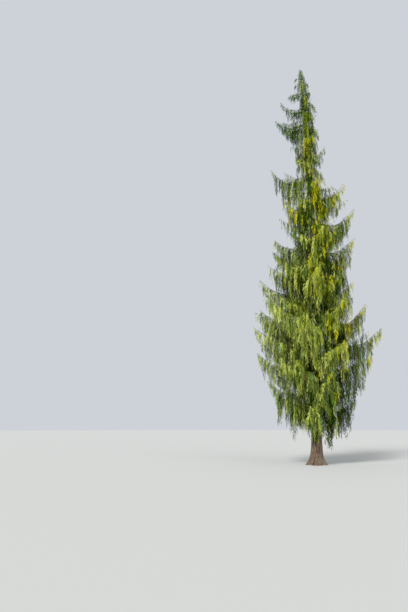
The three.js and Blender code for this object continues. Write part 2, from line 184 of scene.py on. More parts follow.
# The part of the drape that every bough has at its tip, and where on the curve of lengths it starts
DRAPE_LEAST = 0.28
DRAPE_START = 0.24
DROP_LEAST = 0.82
DROP_SCATTER = 0.35
# How much of its length a spray is tried with, where its space isn't free
SPRAY_TRIES = (1, 0.72, 0.5)
SPRAY_WIDTH_PER_LENGTH = 0.155
SPRAY_LEAST_HALF_WIDTH = 0.06
SPRAY_LEAST_LENGTH = 0.17
# How far a spray arches out before it hangs: to the side, on a twig, and right below the stem
SIDE_SPRAY_OFFSET = 0.33
OFFSET_LEAST = 0.3
FULL_OFFSET_DROP = 1.1
OFFSET_SCATTER = 0.6
TWIG_SPRAY_OFFSET = 0.06
BELOW_SPRAY_OFFSET = 0.025
ROOT_DEPTH = 0.002
GROUND_GAP = 0.32
SPACE_GAP = 0.014
OWN_OVERLAP = -0.03
ANY_OVERLAP = -1.0
# A spray's rings between its root and its tip: how far along, and its left and right edge
SPRAY_RINGS = (
    (0.1, 0.85, 0.4),
    (0.38, 0.42, 1),
    (0.68, 0.8, 0.3),
)
# How much steeper a spray falls for its offset, and how much of its width its room holds
SPRAY_ARCH = 0.6
SPRAY_ROOM = 0.42

FOLIAGE_SEED = 11
FOLIAGE_SEED_STEP = 977
SWING_SEED = 301
LEADER_SEED = 5

# The leader, the thin nodding shoot above the trunk
LEADER_NOD = -0.075
LEADER_STEPS = 4
# The turn from one sprig of the leader, bough or strand to the next
LEADER_TURN = 137.5
# Where the two sprigs of each stretch stand, and how long and how far out they are at the leader's tip,
# with what is added towards its foot
SPRIG_PLACES = (0.3, 0.7)
SPRIG_LENGTH = 0.2
SPRIG_LENGTH_GROWTH = 0.24
SPRIG_LENGTH_LEAST = 0.6
SPRIG_OFFSET = 0.05
SPRIG_OFFSET_GROWTH = 0.11

# The thin column of foliage close round the trunk: how wide it is, how far it stands to the right, and how
# far its strands hang
SPIRE_HEIGHTS = (2.4, 6.0, 10.0, 11.0, 11.7, 12.4, 13.0, 14.0, 14.6, 15.1, 15.4)
SPIRE_RADII = (0.60, 0.70, 0.50, 0.36, 0.26, 0.27, 0.31, 0.28, 0.23, 0.19, 0.16)
SPIRE_SHIFTS = (0.0, 0.0, 0.02, 0.05, 0.04, 0.05, 0.10, 0.09, 0.05, 0.02, 0.01)
SPIRE_DROPS = (0.9, 1.0, 1.2, 1.2, 1.1, 1.1, 1.1, 0.9, 0.7, 0.5, 0.35)
SPIRE_GAPS = (1.7, 1.7, 1.4, 1.2, 1.1, 1.1, 0.8, 0.65, 0.65, 0.65, 0.65)

# Owners of space that aren't a numbered bough
TRUNK_OWNER = 0
LEADER_OWNER = len(BOUGHS) + 1

DOWN = np.array([0.0, 0.0, -1.0])
UP = -DOWN


class Bough(NamedTuple):
    """One bough, and how it runs from the trunk to its tip."""

    number: int
    foot: float
    heading: float
    reach: float
    lift: float
    drape: float
    swing: float


class Spray(NamedTuple):
    """A hanging spray of the solids: where it leaves its stem, how it arches out, and how far it hangs."""

    stem: np.ndarray
    out: np.ndarray
    offset: float
    drop: float
    across: np.ndarray
    half: float


class Mass(NamedTuple):
    """The foliage of one bough or of the leader."""

    owner: int
    twigs: list
    sprays: list


def seeded_random(seed):
    """A repeatable stream of numbers from 0 to 1, the same as the one that the solids are grown with."""
    mask = 0xFFFFFFFF
    state = seed & mask

    def draw():
        nonlocal state
        state = (state + 0x6D2B79F5) & mask
        mixed = ((state ^ (state >> 15)) * (state | 1)) & mask
        stirred = ((mixed ^ (mixed >> 7)) * (mixed | 61)) & mask
        mixed ^= (mixed + stirred) & mask
        return (mixed ^ (mixed >> 14)) / 4294967296

    return draw


def heading(angle):
    """The level direction of a heading: 0 along +X, 90 along +Y."""
    angle = np.radians(angle)
    return np.stack([np.cos(angle), np.sin(angle), np.zeros_like(angle)], axis=-1)


def turned(vector, angle):
    cos, sin = math.cos(math.radians(angle)), math.sin(math.radians(angle))
    return np.array([vector[0] * cos - vector[1] * sin, vector[0] * sin + vector[1] * cos, vector[2]])


def unit(vectors):
    return vectors / np.linalg.norm(vectors, axis=-1, keepdims=True)


def trunk_centre(height):
    share = np.asarray(height, float) / TREE_HEIGHT
    x = TRUNK_BOW * np.sin(np.pi * share) + TRUNK_LEAN * share * share
    y = TRUNK_SWAY * np.sin(2 * np.pi * share)
    return np.stack([x, y, share * TREE_HEIGHT], axis=-1)


def trunk_radius(height):
    left = np.maximum(0, 1 - np.asarray(height, float) / TREE_HEIGHT)
    return TRUNK_TIP_RADIUS + (TRUNK_RADIUS - TRUNK_TIP_RADIUS) * left**TRUNK_TAPER


def flare_radius(height, angle):
    flare = np.exp(-height / FLARE_FADE)
    lobes = 1 + ROOT_LOBE_DEPTH * np.cos(ROOT_LOBES * angle) * flare
    return (trunk_radius(height) + FLARE_RADIUS * flare) * lobes


def bough_line(bough, share):
    """A bough's middle line: out from the trunk, down in a shallow dip and up again to its tip."""
    share = np.asarray(share, float)
    level = heading(bough.heading + bough.swing * share * share) * (bough.reach * share)[..., None]
    rise = bough.lift * share**3 - BOUGH_DIP * bough.reach * np.sin(np.pi * share)
    return trunk_centre(bough.foot) + level + rise[..., None] * UP


def waves(share, phase, rows):
    return sum(strength * np.sin(rate * share + part * phase) for rate, strength, part in rows)


def knotty_line(bough, share):
    """The middle line of a bough as it grows, which wanders a little about its plain line."""
    share = np.asarray(share, float)
    phase = PHASE_PER_BOUGH * bough.number + PHASE_PER_METRE * bough.foot
    fade = WANDER * bough.reach * np.sin(np.pi * share)
    up = fade * waves(share, phase, WAVES_UP)
    aside = fade * waves(share, phase, WAVES_ASIDE)
    level = aside[..., None] * heading(bough.heading + 90)
    return bough_line(bough, share) + up[..., None] * UP + level


def bough_radius(bough, share):
    foot = BOUGH_RADIUS_PER_REACH * bough.reach + BOUGH_LEAST_RADIUS
    bare = np.maximum(0, share * bough.reach - trunk_radius(bough.foot))
    collar = 1 + COLLAR_SWELL * np.exp(-bare / COLLAR_FADE)
    return BOUGH_TIP_RADIUS + (foot - BOUGH_TIP_RADIUS) * (1 - share) * collar


def drape_at(bough, share):
    curve = np.sin(np.pi * (DRAPE_START + (1 - DRAPE_START) * share))
    return bough.drape * (DRAPE_LEAST + (1 - DRAPE_LEAST) * curve)


class Space:
    """The space taken so far: round stretches along limbs and sprays, each owned by one piece."""

    def __init__(self):
        self.starts = np.empty((0, 3))
        self.ends = np.empty((0, 3))
        self.radii = np.empty(0)
        self.owners = np.empty(0, int)

    def take(self, starts, ends, radii, owner):
        self.starts = np.vstack([self.starts, starts])
        self.ends = np.vstack([self.ends, ends])
        self.radii = np.append(self.radii, radii)
        self.owners = np.append(self.owners, np.full(len(radii), owner))

    def take_along(self, line, radius, near, far, count, owner):
        shares = np.linspace(near, far, count + 1)
        points = line(shares)
        self.take(points[:-1], points[1:], radius(shares[:-1]), owner)

    def gaps(self, start, end, radius):
        """How far the skin of one straight, round stretch stays from that of each taken one."""
        apart = start - self.starts
        u = end - start
        v = self.ends - self.starts
        uu = u @ u
        vv = np.einsum("ij,ij->i", v, v)
        uv = v @ u
        v_apart = np.einsum("ij,ij->i", v, apart)
        u_apart = apart @ u
        bend = np.maximum(1e-12, uu * vv - uv * uv)
        s = np.clip((uv * v_apart - vv * u_apart) / bend, 0, 1)
        t = np.clip((uv * s + v_apart) / vv, 0, 1)
        s = np.clip((uv * t - u_apart) / uu, 0, 1)
        between = apart + u * s[:, None] - v * t[:, None]
        return np.linalg.norm(between, axis=1) - radius - self.radii

    def is_free(self, starts, ends, radii, owner, own_gap):
        least = np.where(self.owners == owner, own_gap, SPACE_GAP)
        return all(
            (self.gaps(start, end, radius) > least).all()
            for start, end, radius in zip(starts, ends, radii, strict=True)
        )


def spray_stretches(root, out, offset, length, across):
    """The straight stretches that stand for a spray of the solids."""
    half = max(SPRAY_LEAST_HALF_WIDTH, SPRAY_WIDTH_PER_LENGTH * length)
    steep = 1 + SPRAY_ARCH * offset / length

    def line(share):
        fall = (length + ROOT_DEPTH) * share**steep - ROOT_DEPTH
        return root + out * (offset * (1 - (1 - share) ** 3)) + DOWN * fall

    nexts = [ring[0] for ring in SPRAY_RINGS[1:]] + [1]
    starts = [line(share) + across * (0.5 * (right - left) * half) for share, left, right in SPRAY_RINGS]
    ends = [line(share) for share in nexts]
    radii = [SPRAY_ROOM * (left + right) * half for _, left, right in SPRAY_RINGS]
    return np.array(starts), np.array(ends), np.array(radii), half


def hang_spray(mass, space, stem, root, out, offset, length, across):
    """Hangs a spray where its space is free, shortened where that is needed."""
    for share in SPRAY_TRIES:
        drop = min(length * share, root[2] - GROUND_GAP)
        if drop < SPRAY_LEAST_LENGTH:
            return
        starts, ends, radii, half = spray_stretches(root, out, offset, drop, across)
        if space.is_free(starts, ends, radii, mass.owner, OWN_OVERLAP):
            space.take(starts, ends, radii, mass.owner)
            mass.sprays.append(Spray(stem, out, offset, drop, across, half))
            return


def grow_twig(mass, space, stem, root, out, slope, radius, drop, across):
    """A side twig that leaves the stem at an angle and droops, with a spray near its end."""
    tip = root + out * TWIG_LENGTH + slope
    start = root + (tip - root) * TWIG_IN_STEM
    if not space.is_free([start], [tip], [radius], mass.owner, ANY_OVERLAP):
        return
    space.take([start], [tip], [radius], mass.owner)
    mass.twigs.append((stem, tip, radius))
    place = root + (tip - root) * SPRAY_PLACE_ON_TWIG
    hang_spray(mass, space, place, place, out, TWIG_SPRAY_OFFSET, drop, across)


def grow_mass(bough, space):
    """All the sprays and side twigs of one bough, by the rule of the solids."""
    bare = bough.reach >= MAIN_REACH
    start = BARE_SHARE + JOINT_GAP / bough.reach if bare else 0.0
    random = seeded_random(bough.number * FOLIAGE_SEED_STEP + FOLIAGE_SEED)
    first = max(start + STEM_LEAST_SHARE, (trunk_radius(bough.foot) + FOLIAGE_START) / bough.reach)
    leafy = bough.reach * (1 - first)
    spacing = SPRAY_SPACING + SPACING_PER_REACH * bough.reach
    stretches = max(2, math.floor(leafy / spacing + 0.5))
    steps = stretches + 1

    def share_at(ring):
        return start + (first - start) * ring if ring < 1 else first + (1 - first) * (ring - 1) / stretches

    mass = Mass(bough.number, [], [])
    for side in (0, 1, -1):
        for ring in range(1, steps):
            part = 0.5 + SIDE_STAGGER * side + PLACE_SCATTER * (random() - 0.5)
            share = share_at(ring + part)
            ahead = heading(bough.heading + bough.swing * share * share)
            out = turned(ahead, side * (TWIG_ANGLE + TWIG_ANGLE_SCATTER * (random() - 0.5)))
            twist = SPRAY_TWIST * 2 * (random() - 0.5)
            drop = drape_at(bough, share) * (DROP_LEAST + DROP_SCATTER * random())
            offset_share = min(1, OFFSET_LEAST + drop / FULL_OFFSET_DROP)
            reach = SIDE_SPRAY_OFFSET * offset_share * (OFFSET_SCATTER + OFFSET_SCATTER * random())
            on_twig = random() < TWIG_CHANCE
            near, far = bough_line(bough, [share_at(ring), share_at(ring + 1)])
            root = near + (far - near) * part
            stem = knotty_line(bough, share)
            across = turned(out if side else ahead, twist)
            if side == 0:
                hang_spray(mass, space, stem, root, out, BELOW_SPRAY_OFFSET, drop, across)
            elif ring == steps - 1 and bough.reach > SHORT_REACH:
                continue
            elif on_twig and bough.reach > TWIG_LEAST_REACH:
                radius = min(TWIG_RADIUS, TWIG_TO_BOUGH_RADIUS * bough_radius(bough, share))
                grow_twig(mass, space, stem, root, out, DOWN * (TWIG_DROOP * reach), radius, drop, across)
            else:
                hang_spray(mass, space, stem, root, out, reach, drop, across)
    return mass


def leader_line(share):
    share = np.asarray(share, float)
    foot = trunk_centre(TRUNK_TOP)
    x = foot[0] + LEADER_NOD * share * share
    z = TRUNK_TOP + JOINT_GAP + (TREE_HEIGHT - TRUNK_TOP - JOINT_GAP) * share
    return np.stack([x, np.full_like(x, foot[1]), z], axis=-1)


def grow_leader(space):
    random = seeded_random(LEADER_SEED)
    mass = Mass(LEADER_OWNER, [], [])
    for ring in range(LEADER_STEPS):
        near, far = leader_line([ring / LEADER_STEPS, (ring + 1) / LEADER_STEPS])
        for order, part in enumerate(SPRIG_PLACES):
            share = (ring + part) / LEADER_STEPS
            out = heading(LEADER_TURN * (2 * ring + order) + 180)
            growth = SPRIG_LENGTH_LEAST + (1 - SPRIG_LENGTH_LEAST) * random()
            drop = SPRIG_LENGTH + SPRIG_LENGTH_GROWTH * (1 - share) * growth
            offset = SPRIG_OFFSET + SPRIG_OFFSET_GROWTH * (1 - share)
            root = near + (far - near) * part
            hang_spray(mass, space, leader_line(share), root, out, offset, drop, out)
    return mass


@functools.cache
def grown_tree():
    """The boughs and their masses of foliage, with the leader's mass last."""
    boughs = []
    for i, row in enumerate(BOUGHS):
        swing = BOUGH_SWING * 2 * (seeded_random(i + SWING_SEED)() - 0.5)
        boughs.append(Bough(i + 1, *row, swing))
    space = Space()
    space.take_along(
        trunk_centre, lambda height: trunk_radius(height) + TRUNK_CLEARANCE,
        0, TRUNK_TOP, TRUNK_STRETCHES, TRUNK_OWNER,
    )
    for bough in boughs:
        line = functools.partial(bough_line, bough)
        radius = functools.partial(bough_radius, bough)
        bark = trunk_radius(bough.foot) / bough.reach
        space.take_along(line, radius, bark, 1, BOUGH_STRETCHES, bough.number)
    masses = [grow_mass(bough, space) for bough in boughs]
    return boughs, [*masses, grow_leader(space)]


# The finer foliage. A strand is one hanging string of flat sprigs.
STRAND_FIELDS = ("base", "lean", "drop", "steep", "facing", "sprig", "owner", "lit")
# How far inside the box of the solids the tips of the strands stay
EDGE_GAP = 0.03
CROWN_LOW = np.array(CAD_BOX[0]) + EDGE_GAP
CROWN_HIGH = np.array(CAD_BOX[1]) - EDGE_GAP
# A strand's slight wave: how fast it turns, how wide it is for its drop, and how its level direction turns
# with the strand's facing
STRAND_WAVE_RATE = 6.0
STRAND_WAVE = 0.02
STRAND_WAVE_TURN = 3.0

# The seeds of the finer growth
SPRAY_SEED = 4100
BOUGH_SEED = 5200
SPRIG_SEED = 9000
LESSER_SEED = 31
TRUNK_SEED = 77
LEADER_STRAND_SEED = 78

# How much smaller the sprigs are towards the top of the tree and on a short strand
YOUNG_HEIGHTS = (11.0, TREE_HEIGHT)
YOUNG_SPRIGS = (1.0, 0.72)
SPRIG_SCATTER = (0.8, 1.1)
SHORT_SPRIG = 0.5
SPRIG_GROWTH = 0.6

# The strands of one spray: the fewest, the part of its width they take up, how far they stray along and
# across it, how much shorter the outer ones are, how much longer the middle one is, how much of the arch
# lies beyond a strand's base, and how the rest of it is placed
SPRAY_LEAST_STRANDS = 3
SPRAY_FILL = 0.85
SPRAY_STRAY = 0.012
SPRAY_DEPTHS = (-0.4, 0.4)
OUTER_SHORTER = (0.0, 0.42)
OUTER_CURVE = 0.6
MIDDLE_LONGER = 0.01
ONWARD_SHARES = (0.35, 0.8)
INWARD_LEVEL = 0.9
INWARD_SAG = 0.18
SPRAY_STEEPER = 0.5

# A side shoot: how far its tip falls for its length and for the drape, how steeply, and how it sags. Its
# strands: where the first one hangs, how much of the drape they reach and how much less at the tip, how far
# they lean and how steeply they fall. All gaps are scattered alike.
BRANCHLET_FALL = 0.35
BRANCHLET_DRAPES = (0.35, 0.6)
BRANCHLET_STEEP = 2.3
BRANCHLET_SAG = 0.2
FIRST_HANG = (0.3, 0.8)
HANG_DRAPES = (0.5, 1.0)
HANG_SHORTER = 0.3
HANG_LEANS = (0.01, 0.06)
HANG_STEEP = 1.1
GAP_SCATTER = (0.7, 1.3)

# The side shoots of a bough: how far from the bark the first one stands, where the last one may stand, the
# angles they leave at, how long they are at the least, along which stretch of half a wave they lengthen and
# shorten, and how they grow with the bough's reach
BRANCHLET_START = 0.1
LAST_SHARE = 0.97
BRANCHLET_ANGLES = (38, 85)
BRANCHLET_LEAST = 0.15
BRANCHLET_WAVE_START = 0.25
BRANCHLET_WAVE = 0.7
BRANCHLET_SCATTER = (0.6, 1.1)
SHORT_BOUGH_LENGTH = 0.1
LENGTH_PER_REACH = 0.55
# The heights between which boughs turn into those of the spire, and how much closer growth is there
SPIRE_CHANGE = (12.6, 13.4)
SPIRE_BRANCHLET_GAPS = (1, 0.5)
SPIRE_SHOOT_COUNTS = (1.0, 1.4)

# The short shoots on top of a bough: where they start, the fewest, how they crowd towards the tip, their
# angles and lengths, how far they rise and fall for their length, and how they shorten along the bough
SHOOT_START = 0.12
LEAST_SHOOTS = 8
SHOOT_CROWDING = 0.8
SHOOT_ANGLES = (12, 70)
SHOOT_LENGTHS = (0.1, 0.2)
SHOOT_RISES = (0.4, 1.0)
SHOOT_FALLS = (0.5, 1.3)
SHOOT_STEEP = 2.4
SHOOT_TAPER_FROM = 1.2
SHOOT_TAPER = 0.5
# How much painted light a shoot's tints get at a bough's foot; it grows towards the tip
SHOOT_LIT = 0.2
# The heights between which shoots become shorter and calmer, and how much so
YOUNG_SHOOT_HEIGHTS = (11.0, 13.0)
YOUNG_SHOOTS = (1.0, 0.75)
CALM_SHOOT_HEIGHTS = (12.0, 13.0)
CALM_SHOOTS = (1.0, 0.65)
# The outer part of a bough, where its shoots hang as a dense pennant: where it starts and is full, and how
# much of the drape the shoots reach there
PENNANT_SHARES = (0.45, 0.75)
PENNANT_DRAPE = 0.62
# The one strand that points on from a bough's tip
TIP_START = 0.96
TIP_LENGTH = 0.16
TIP_DROP = 0.05
TIP_STEEP = 2.0
TIP_SPRIG_LENGTH = 0.3


class Strands:
    """Hanging strands, kept as columns so that they are worked out together."""

    def __init__(self):
        self.rows = []

    def add(self, base, lean, drop, steep, facing, sprig, owner, lit):
        """A strand leaves base, drifts by lean, and its tip hangs drop below its base. facing is the
        heading that its sprigs spread along, sprig the length of the longest ones, and lit how much painted
        light its tints get: 0 deep inside the crown, in painted shade, and 1 at the tip of a bough."""
        tip = base + lean
        tip[:2] = np.clip(tip[:2], CROWN_LOW[:2], CROWN_HIGH[:2])
        self.rows.append((base, tip - base, drop, steep, facing, sprig, owner, lit))

    def columns(self):
        columns = zip(*self.rows, strict=True)
        return {name: np.array(column) for name, column in zip(STRAND_FIELDS, columns, strict=True)}


def strand_points(strands, picked, share):
    """Points on the picked strands: one on each, at its own share or at the one share given."""
    share = np.asarray(share, float)
    drop, facing = strands["drop"][picked], strands["facing"][picked]
    ease = (1 - (1 - share) ** 3)[..., None]
    fall = drop * share ** strands["steep"][picked]
    wave = np.sin(STRAND_WAVE_RATE * share + facing) * share * STRAND_WAVE * drop
    drift = heading(facing * STRAND_WAVE_TURN) * wave[..., None]
    return strands["base"][picked] + strands["lean"][picked] * ease + DOWN * fall[..., None] + drift


def sprig_for(length, height, chance, sizes):
    """The sprig length of a strand: small on a short one and near the top of the tree."""
    young = np.interp(height, YOUNG_HEIGHTS, YOUNG_SPRIGS)
    grown = min(1.0, SHORT_SPRIG + SPRIG_GROWTH * length)
    return sizes.sprig_length * chance.uniform(*SPRIG_SCATTER) * grown * young


def spray_strands(strands, spray, owner, lit, chance, sizes):
    """The strands that stand for one spray of the solids, side by side along its width."""
    count = max(SPRAY_LEAST_STRANDS, round(spray.half * 2 / sizes.strand_gap))
    side = np.array([-spray.across[1], spray.across[0], 0])
    for i in range(count):
        place = (i + 0.5) / count * 2 - 1
        along = place * spray.half * SPRAY_FILL + chance.normal(0, SPRAY_STRAY)
        depth = chance.uniform(*SPRAY_DEPTHS) * spray.half
        level = spray.out * spray.offset + spray.across * along + side * depth
        shorter = chance.uniform(*OUTER_SHORTER) * abs(place) ** OUTER_CURVE
        drop = spray.drop * (1 - shorter) + (MIDDLE_LONGER if i == count // 2 else 0.0)
        inward = 1 - chance.uniform(*ONWARD_SHARES)
        base = spray.stem + level * inward * INWARD_LEVEL + DOWN * (INWARD_SAG * spray.offset * inward)
        steep = 1 + SPRAY_STEEPER * np.linalg.norm(level) / drop
        sprig = sprig_for(drop, base[2], chance, sizes)
        facing = chance.uniform(0, 360)
        strands.add(base, level * (1 - inward), drop, steep, facing, sprig, owner, lit)


def branchlet(strands, base, out, length, drape, owner, lit, chance, sizes):
    """One finer side shoot that arches out, with strands hanging all along it."""
    room = base[2] - GROUND_GAP
    across = math.degrees(math.atan2(out[1], out[0])) + 90
    drop = min(room, length * BRANCHLET_FALL + drape * chance.uniform(*BRANCHLET_DRAPES))
    sprig = sprig_for(drop, base[2], chance, sizes)
    strands.add(base, out * length, drop, BRANCHLET_STEEP, across, sprig, owner, lit)
    place = chance.uniform(*FIRST_HANG) * sizes.hang_gap
    while place < length:
        part = place / length
        drop = min(room, drape * chance.uniform(*HANG_DRAPES) * (1 - HANG_SHORTER * part))
        start = base + out * place + DOWN * (BRANCHLET_SAG * place * part)
        lean = heading(chance.uniform(0, 360)) * chance.uniform(*HANG_LEANS)
        sprig = sprig_for(drop, start[2], chance, sizes)
        strands.add(start, lean, drop, HANG_STEEP, chance.uniform(0, 360), sprig, owner, lit)
        place += sizes.hang_gap * chance.uniform(*GAP_SCATTER)


def bough_branchlets(strands, bough, lit_share, chance, sizes):
    """Side shoots all along a bough, to the left and right in turn, shorter towards its tip."""
    gap = sizes.branchlet_gap * np.interp(bough.foot, SPIRE_CHANGE, SPIRE_BRANCHLET_GAPS)
    longest = sizes.branchlet_length * min(1, SHORT_BOUGH_LENGTH + LENGTH_PER_REACH * bough.reach)
    share = (trunk_radius(bough.foot) + BRANCHLET_START) / bough.reach
    side = 1
    while share < LAST_SHARE:
        angle = bough.heading + bough.swing * share * share + side * chance.uniform(*BRANCHLET_ANGLES)
        wave = math.sin(math.pi * (BRANCHLET_WAVE_START + BRANCHLET_WAVE * share))
        length = longest * (BRANCHLET_LEAST + (1 - BRANCHLET_LEAST) * wave)
        length *= chance.uniform(*BRANCHLET_SCATTER)
        base = knotty_line(bough, share)
        drape = drape_at(bough, share)
        # Painted shade near the trunk and painted light towards the bough's tip
        lit = lit_share * share
        branchlet(strands, base, heading(angle), length, drape, bough.number, lit, chance, sizes)
        share += chance.uniform(*GAP_SCATTER) * gap / bough.reach
        side = -side


def bough_shoots(strands, bough, gap, lit_share, chance, sizes):
    """Short shoots that arch up and over all along a bough and hide its wood. The outer ones hang lower."""
    first = (trunk_radius(bough.foot) + SHOOT_START) / bough.reach
    count = max(LEAST_SHOOTS, round(bough.reach * (1 - first) / gap))
    count = round(count * np.interp(bough.foot, SPIRE_CHANGE, SPIRE_SHOOT_COUNTS))
    young = np.interp(bough.foot, YOUNG_SHOOT_HEIGHTS, YOUNG_SHOOTS)
    calm = np.interp(bough.foot, CALM_SHOOT_HEIGHTS, CALM_SHOOTS)
    for i in range(count):
        share = first + (LAST_SHARE - first) * ((i + 0.5) / count) ** SHOOT_CROWDING
        taper = SHOOT_TAPER_FROM - SHOOT_TAPER * share
        aside = chance.uniform(*SHOOT_ANGLES) * taper * (-1 if i % 2 else 1)
        angle = bough.heading + bough.swing * share * share + aside
        length = chance.uniform(*SHOOT_LENGTHS) * taper * young
        rise = length * chance.uniform(*SHOOT_RISES) * calm
        base = knotty_line(bough, share)
        room = base[2] - GROUND_GAP
        drop = min(rise + length * chance.uniform(*SHOOT_FALLS), room)
        sprig = sprig_for(2 * drop, base[2], chance, sizes)
        pennant = np.interp(share, PENNANT_SHARES, (0, PENNANT_DRAPE)) * drape_at(bough, share) * young
        drop = min(drop + pennant * chance.uniform(0, 1), room)
        lean = heading(angle) * length + UP * rise
        # Painted shade near the trunk and painted light towards the tip
        lit = lit_share * min(1, SHOOT_LIT + share)
        strands.add(base, lean, drop, SHOOT_STEEP, angle + 90, sprig, bough.number, lit)
    lean = unit(bough_line(bough, 1) - bough_line(bough, TIP_START)) * TIP_LENGTH * young
    sprig = sprig_for(TIP_SPRIG_LENGTH, bough.foot, chance, sizes)
    base = knotty_line(bough, TIP_START)
    across = bough.heading + 90
    strands.add(base, lean, TIP_DROP, TIP_STEEP, across, sprig, bough.number, lit_share)


def nearest_owner(height):
    return 1 + int(np.argmin([abs(row[0] - height) for row in BOUGHS]))


# How near in height and heading a bough is to count fully, and what one at another heading counts
NEAR_HEIGHT = 0.9
NEAR_ANGLE = 50
OTHER_HEADING = 0.08


def near_boughs(height, angle):
    """Reach, lift and drape of the crown at a height and heading, read from the boughs near there."""
    rows = np.array(BOUGHS)
    apart = (rows[:, 1] - angle + 180) % 360 - 180
    alike = OTHER_HEADING + np.exp(-((apart / NEAR_ANGLE) ** 2))
    near = np.exp(-(((rows[:, 0] - height) / NEAR_HEIGHT) ** 2)) * alike
    return near @ rows[:, 2:] / near.sum()


# The finer boughs between those of the solids: the heights they stand at, how far they stray from their
# turn, and their reach, lift and drape as shares of those of the boughs near them. On the right they are
# shorter.
LESSER_FOOT = 2.15
LESSER_TOP = 11.4
LESSER_STRAY = (-18, 18)
LESSER_REACHES = (0.76, 1.02)
LESSER_RIGHT = 0.92
RIGHT_COSINE = 0.6
LESSER_LIFT = 0.7
LESSER_LIFT_SCATTER = (-0.12, 0.1)
LESSER_DRAPES = (0.6, 0.85)
# Finer boughs and shoots that fill the outline: height, heading, reach, lift, drape
FILLING_BOUGHS = (
    (15.84, 185, 0.20, -0.22, 0.1),
    (15.56, 178, 0.27, -0.28, 0.14),
    (15.60, 350, 0.20, -0.30, 0.14),
    (14.98, 182, 0.38, -0.20, 0.3),
    (14.38, 187, 0.66, -0.02, 0.45),
    (13.85, 177, 0.92, -0.04, 0.6),
    (13.45, 186, 0.90, 0.00, 0.8),
    (13.20, 178, 0.62, -0.12, 1.1),
    (12.70, 196, 0.60, -0.16, 1.1),
    (12.15, 10, 0.40, -0.30, 0.3),
    (11.45, 172, 1.10, -0.12, 0.8),
    (10.92, 2, 0.85, -0.15, 0.8),
    (10.62, 12, 1.05, -0.05, 0.9),
    (10.10, 355, 1.30, 0.05, 0.9),
    (9.40, 182, 1.20, 0.15, 0.9),
    (9.05, 5, 1.40, 0.15, 0.9),
    (7.90, 178, 1.45, 0.15, 0.9),
    (7.40, 187, 1.75, 0.20, 1.7),
    (7.70, 5, 1.35, 0.15, 0.9),
    (6.10, 186, 1.95, 0.20, 1.4),
    (5.25, 188, 2.10, 0.20, 1.4),
    (4.40, 190, 2.10, 0.20, 1.2),
    (2.95, 5, 1.75, 0.15, 1.2),
)


def lesser_boughs(sizes):
    """The finer boughs between those of the solids, a little shorter, all round the trunk."""
    chance = np.random.default_rng(LESSER_SEED)
    made = []
    for i, foot in enumerate(np.arange(LESSER_FOOT, LESSER_TOP, sizes.lesser_gap)):
        angle = (LEADER_TURN * i + chance.uniform(*LESSER_STRAY)) % 360
        reach, lift, drape = near_boughs(foot, angle)
        on_right = math.cos(math.radians(angle)) > RIGHT_COSINE
        reach *= chance.uniform(*LESSER_REACHES) * (LESSER_RIGHT if on_right else 1.0)
        lift = LESSER_LIFT * lift + chance.uniform(*LESSER_LIFT_SCATTER) * reach
        drape *= chance.uniform(*LESSER_DRAPES)
        swing = chance.uniform(-BOUGH_SWING, BOUGH_SWING)
        made.append(Bough(nearest_owner(foot), foot, angle, reach, lift, drape, swing))
    return made + [Bough(nearest_owner(shoot[0]), *shoot, 0) for shoot in FILLING_BOUGHS]


# The trunk's own strands: how far they stray from their turn, how far out they start and end, how much they
# rise first, how far they hang, how steeply, how small their sprigs are, and how much painted light their
# tints get by height
TRUNK_STRAY = (-25, 25)
TRUNK_STRAND_START = 0.6
TRUNK_STRAND_REACHES = (0.25, 1.0)
TRUNK_STRAND_CURVE = 0.7
TRUNK_STRAND_RISE = 0.25
TRUNK_STRAND_DROPS = (0.55, 1.1)
TRUNK_STRAND_STEEP = 1.5
TRUNK_SPRIGS = 0.9
TRUNK_LIT_HEIGHTS = (10.0, 12.5)
TRUNK_LIT = (0.3, 0.9)


def trunk_strands(strands, chance, sizes):
    """Strands on short twigs of the trunk itself, which hide it and fill the thin spire."""
    height = sizes.spire_foot
    angle = 0
    while height < TRUNK_TOP:
        wide = np.interp(height, SPIRE_HEIGHTS, SPIRE_RADII)
        angle += LEADER_TURN + chance.uniform(*TRUNK_STRAY)
        reach = wide * chance.uniform(*TRUNK_STRAND_REACHES) ** TRUNK_STRAND_CURVE
        out = heading(angle) * (trunk_radius(height) * TRUNK_STRAND_START + reach)
        out[0] += np.interp(height, SPIRE_HEIGHTS, SPIRE_SHIFTS)
        drop = np.interp(height, SPIRE_HEIGHTS, SPIRE_DROPS) * chance.uniform(*TRUNK_STRAND_DROPS)
        rise = TRUNK_STRAND_RISE * wide * chance.uniform(0, 1)
        sprig = sprig_for(drop, height, chance, sizes) * TRUNK_SPRIGS
        lean = out + UP * rise
        lit = np.interp(height, TRUNK_LIT_HEIGHTS, TRUNK_LIT)
        owner = nearest_owner(height)
        foot = trunk_centre(height)
        strands.add(foot, lean, drop + rise, TRUNK_STRAND_STEEP, angle + 90, sprig, owner, lit)
        height += sizes.spire_gap * np.interp(height, SPIRE_HEIGHTS, SPIRE_GAPS)


# The leader's sprays: how many, up to where, their length at the tip and what is added towards the foot,
# how far they hang and reach for it, their sprigs, and how much painted light their tints get
LEADER_STRANDS = 125
LEADER_LAST = 0.97
LEADER_LENGTH = 0.05
LEADER_GROWTH = 0.21
LEADER_CURVE = 0.8
LEADER_DROPS = (0.9, 1.8)
LEADER_REACHES = (0.55, 1.0)
LEADER_STEEP = 1.7
LEADER_SPRIG = 0.35
LEADER_SPRIG_GROWTH = 0.3
LEADER_LIT = 0.8


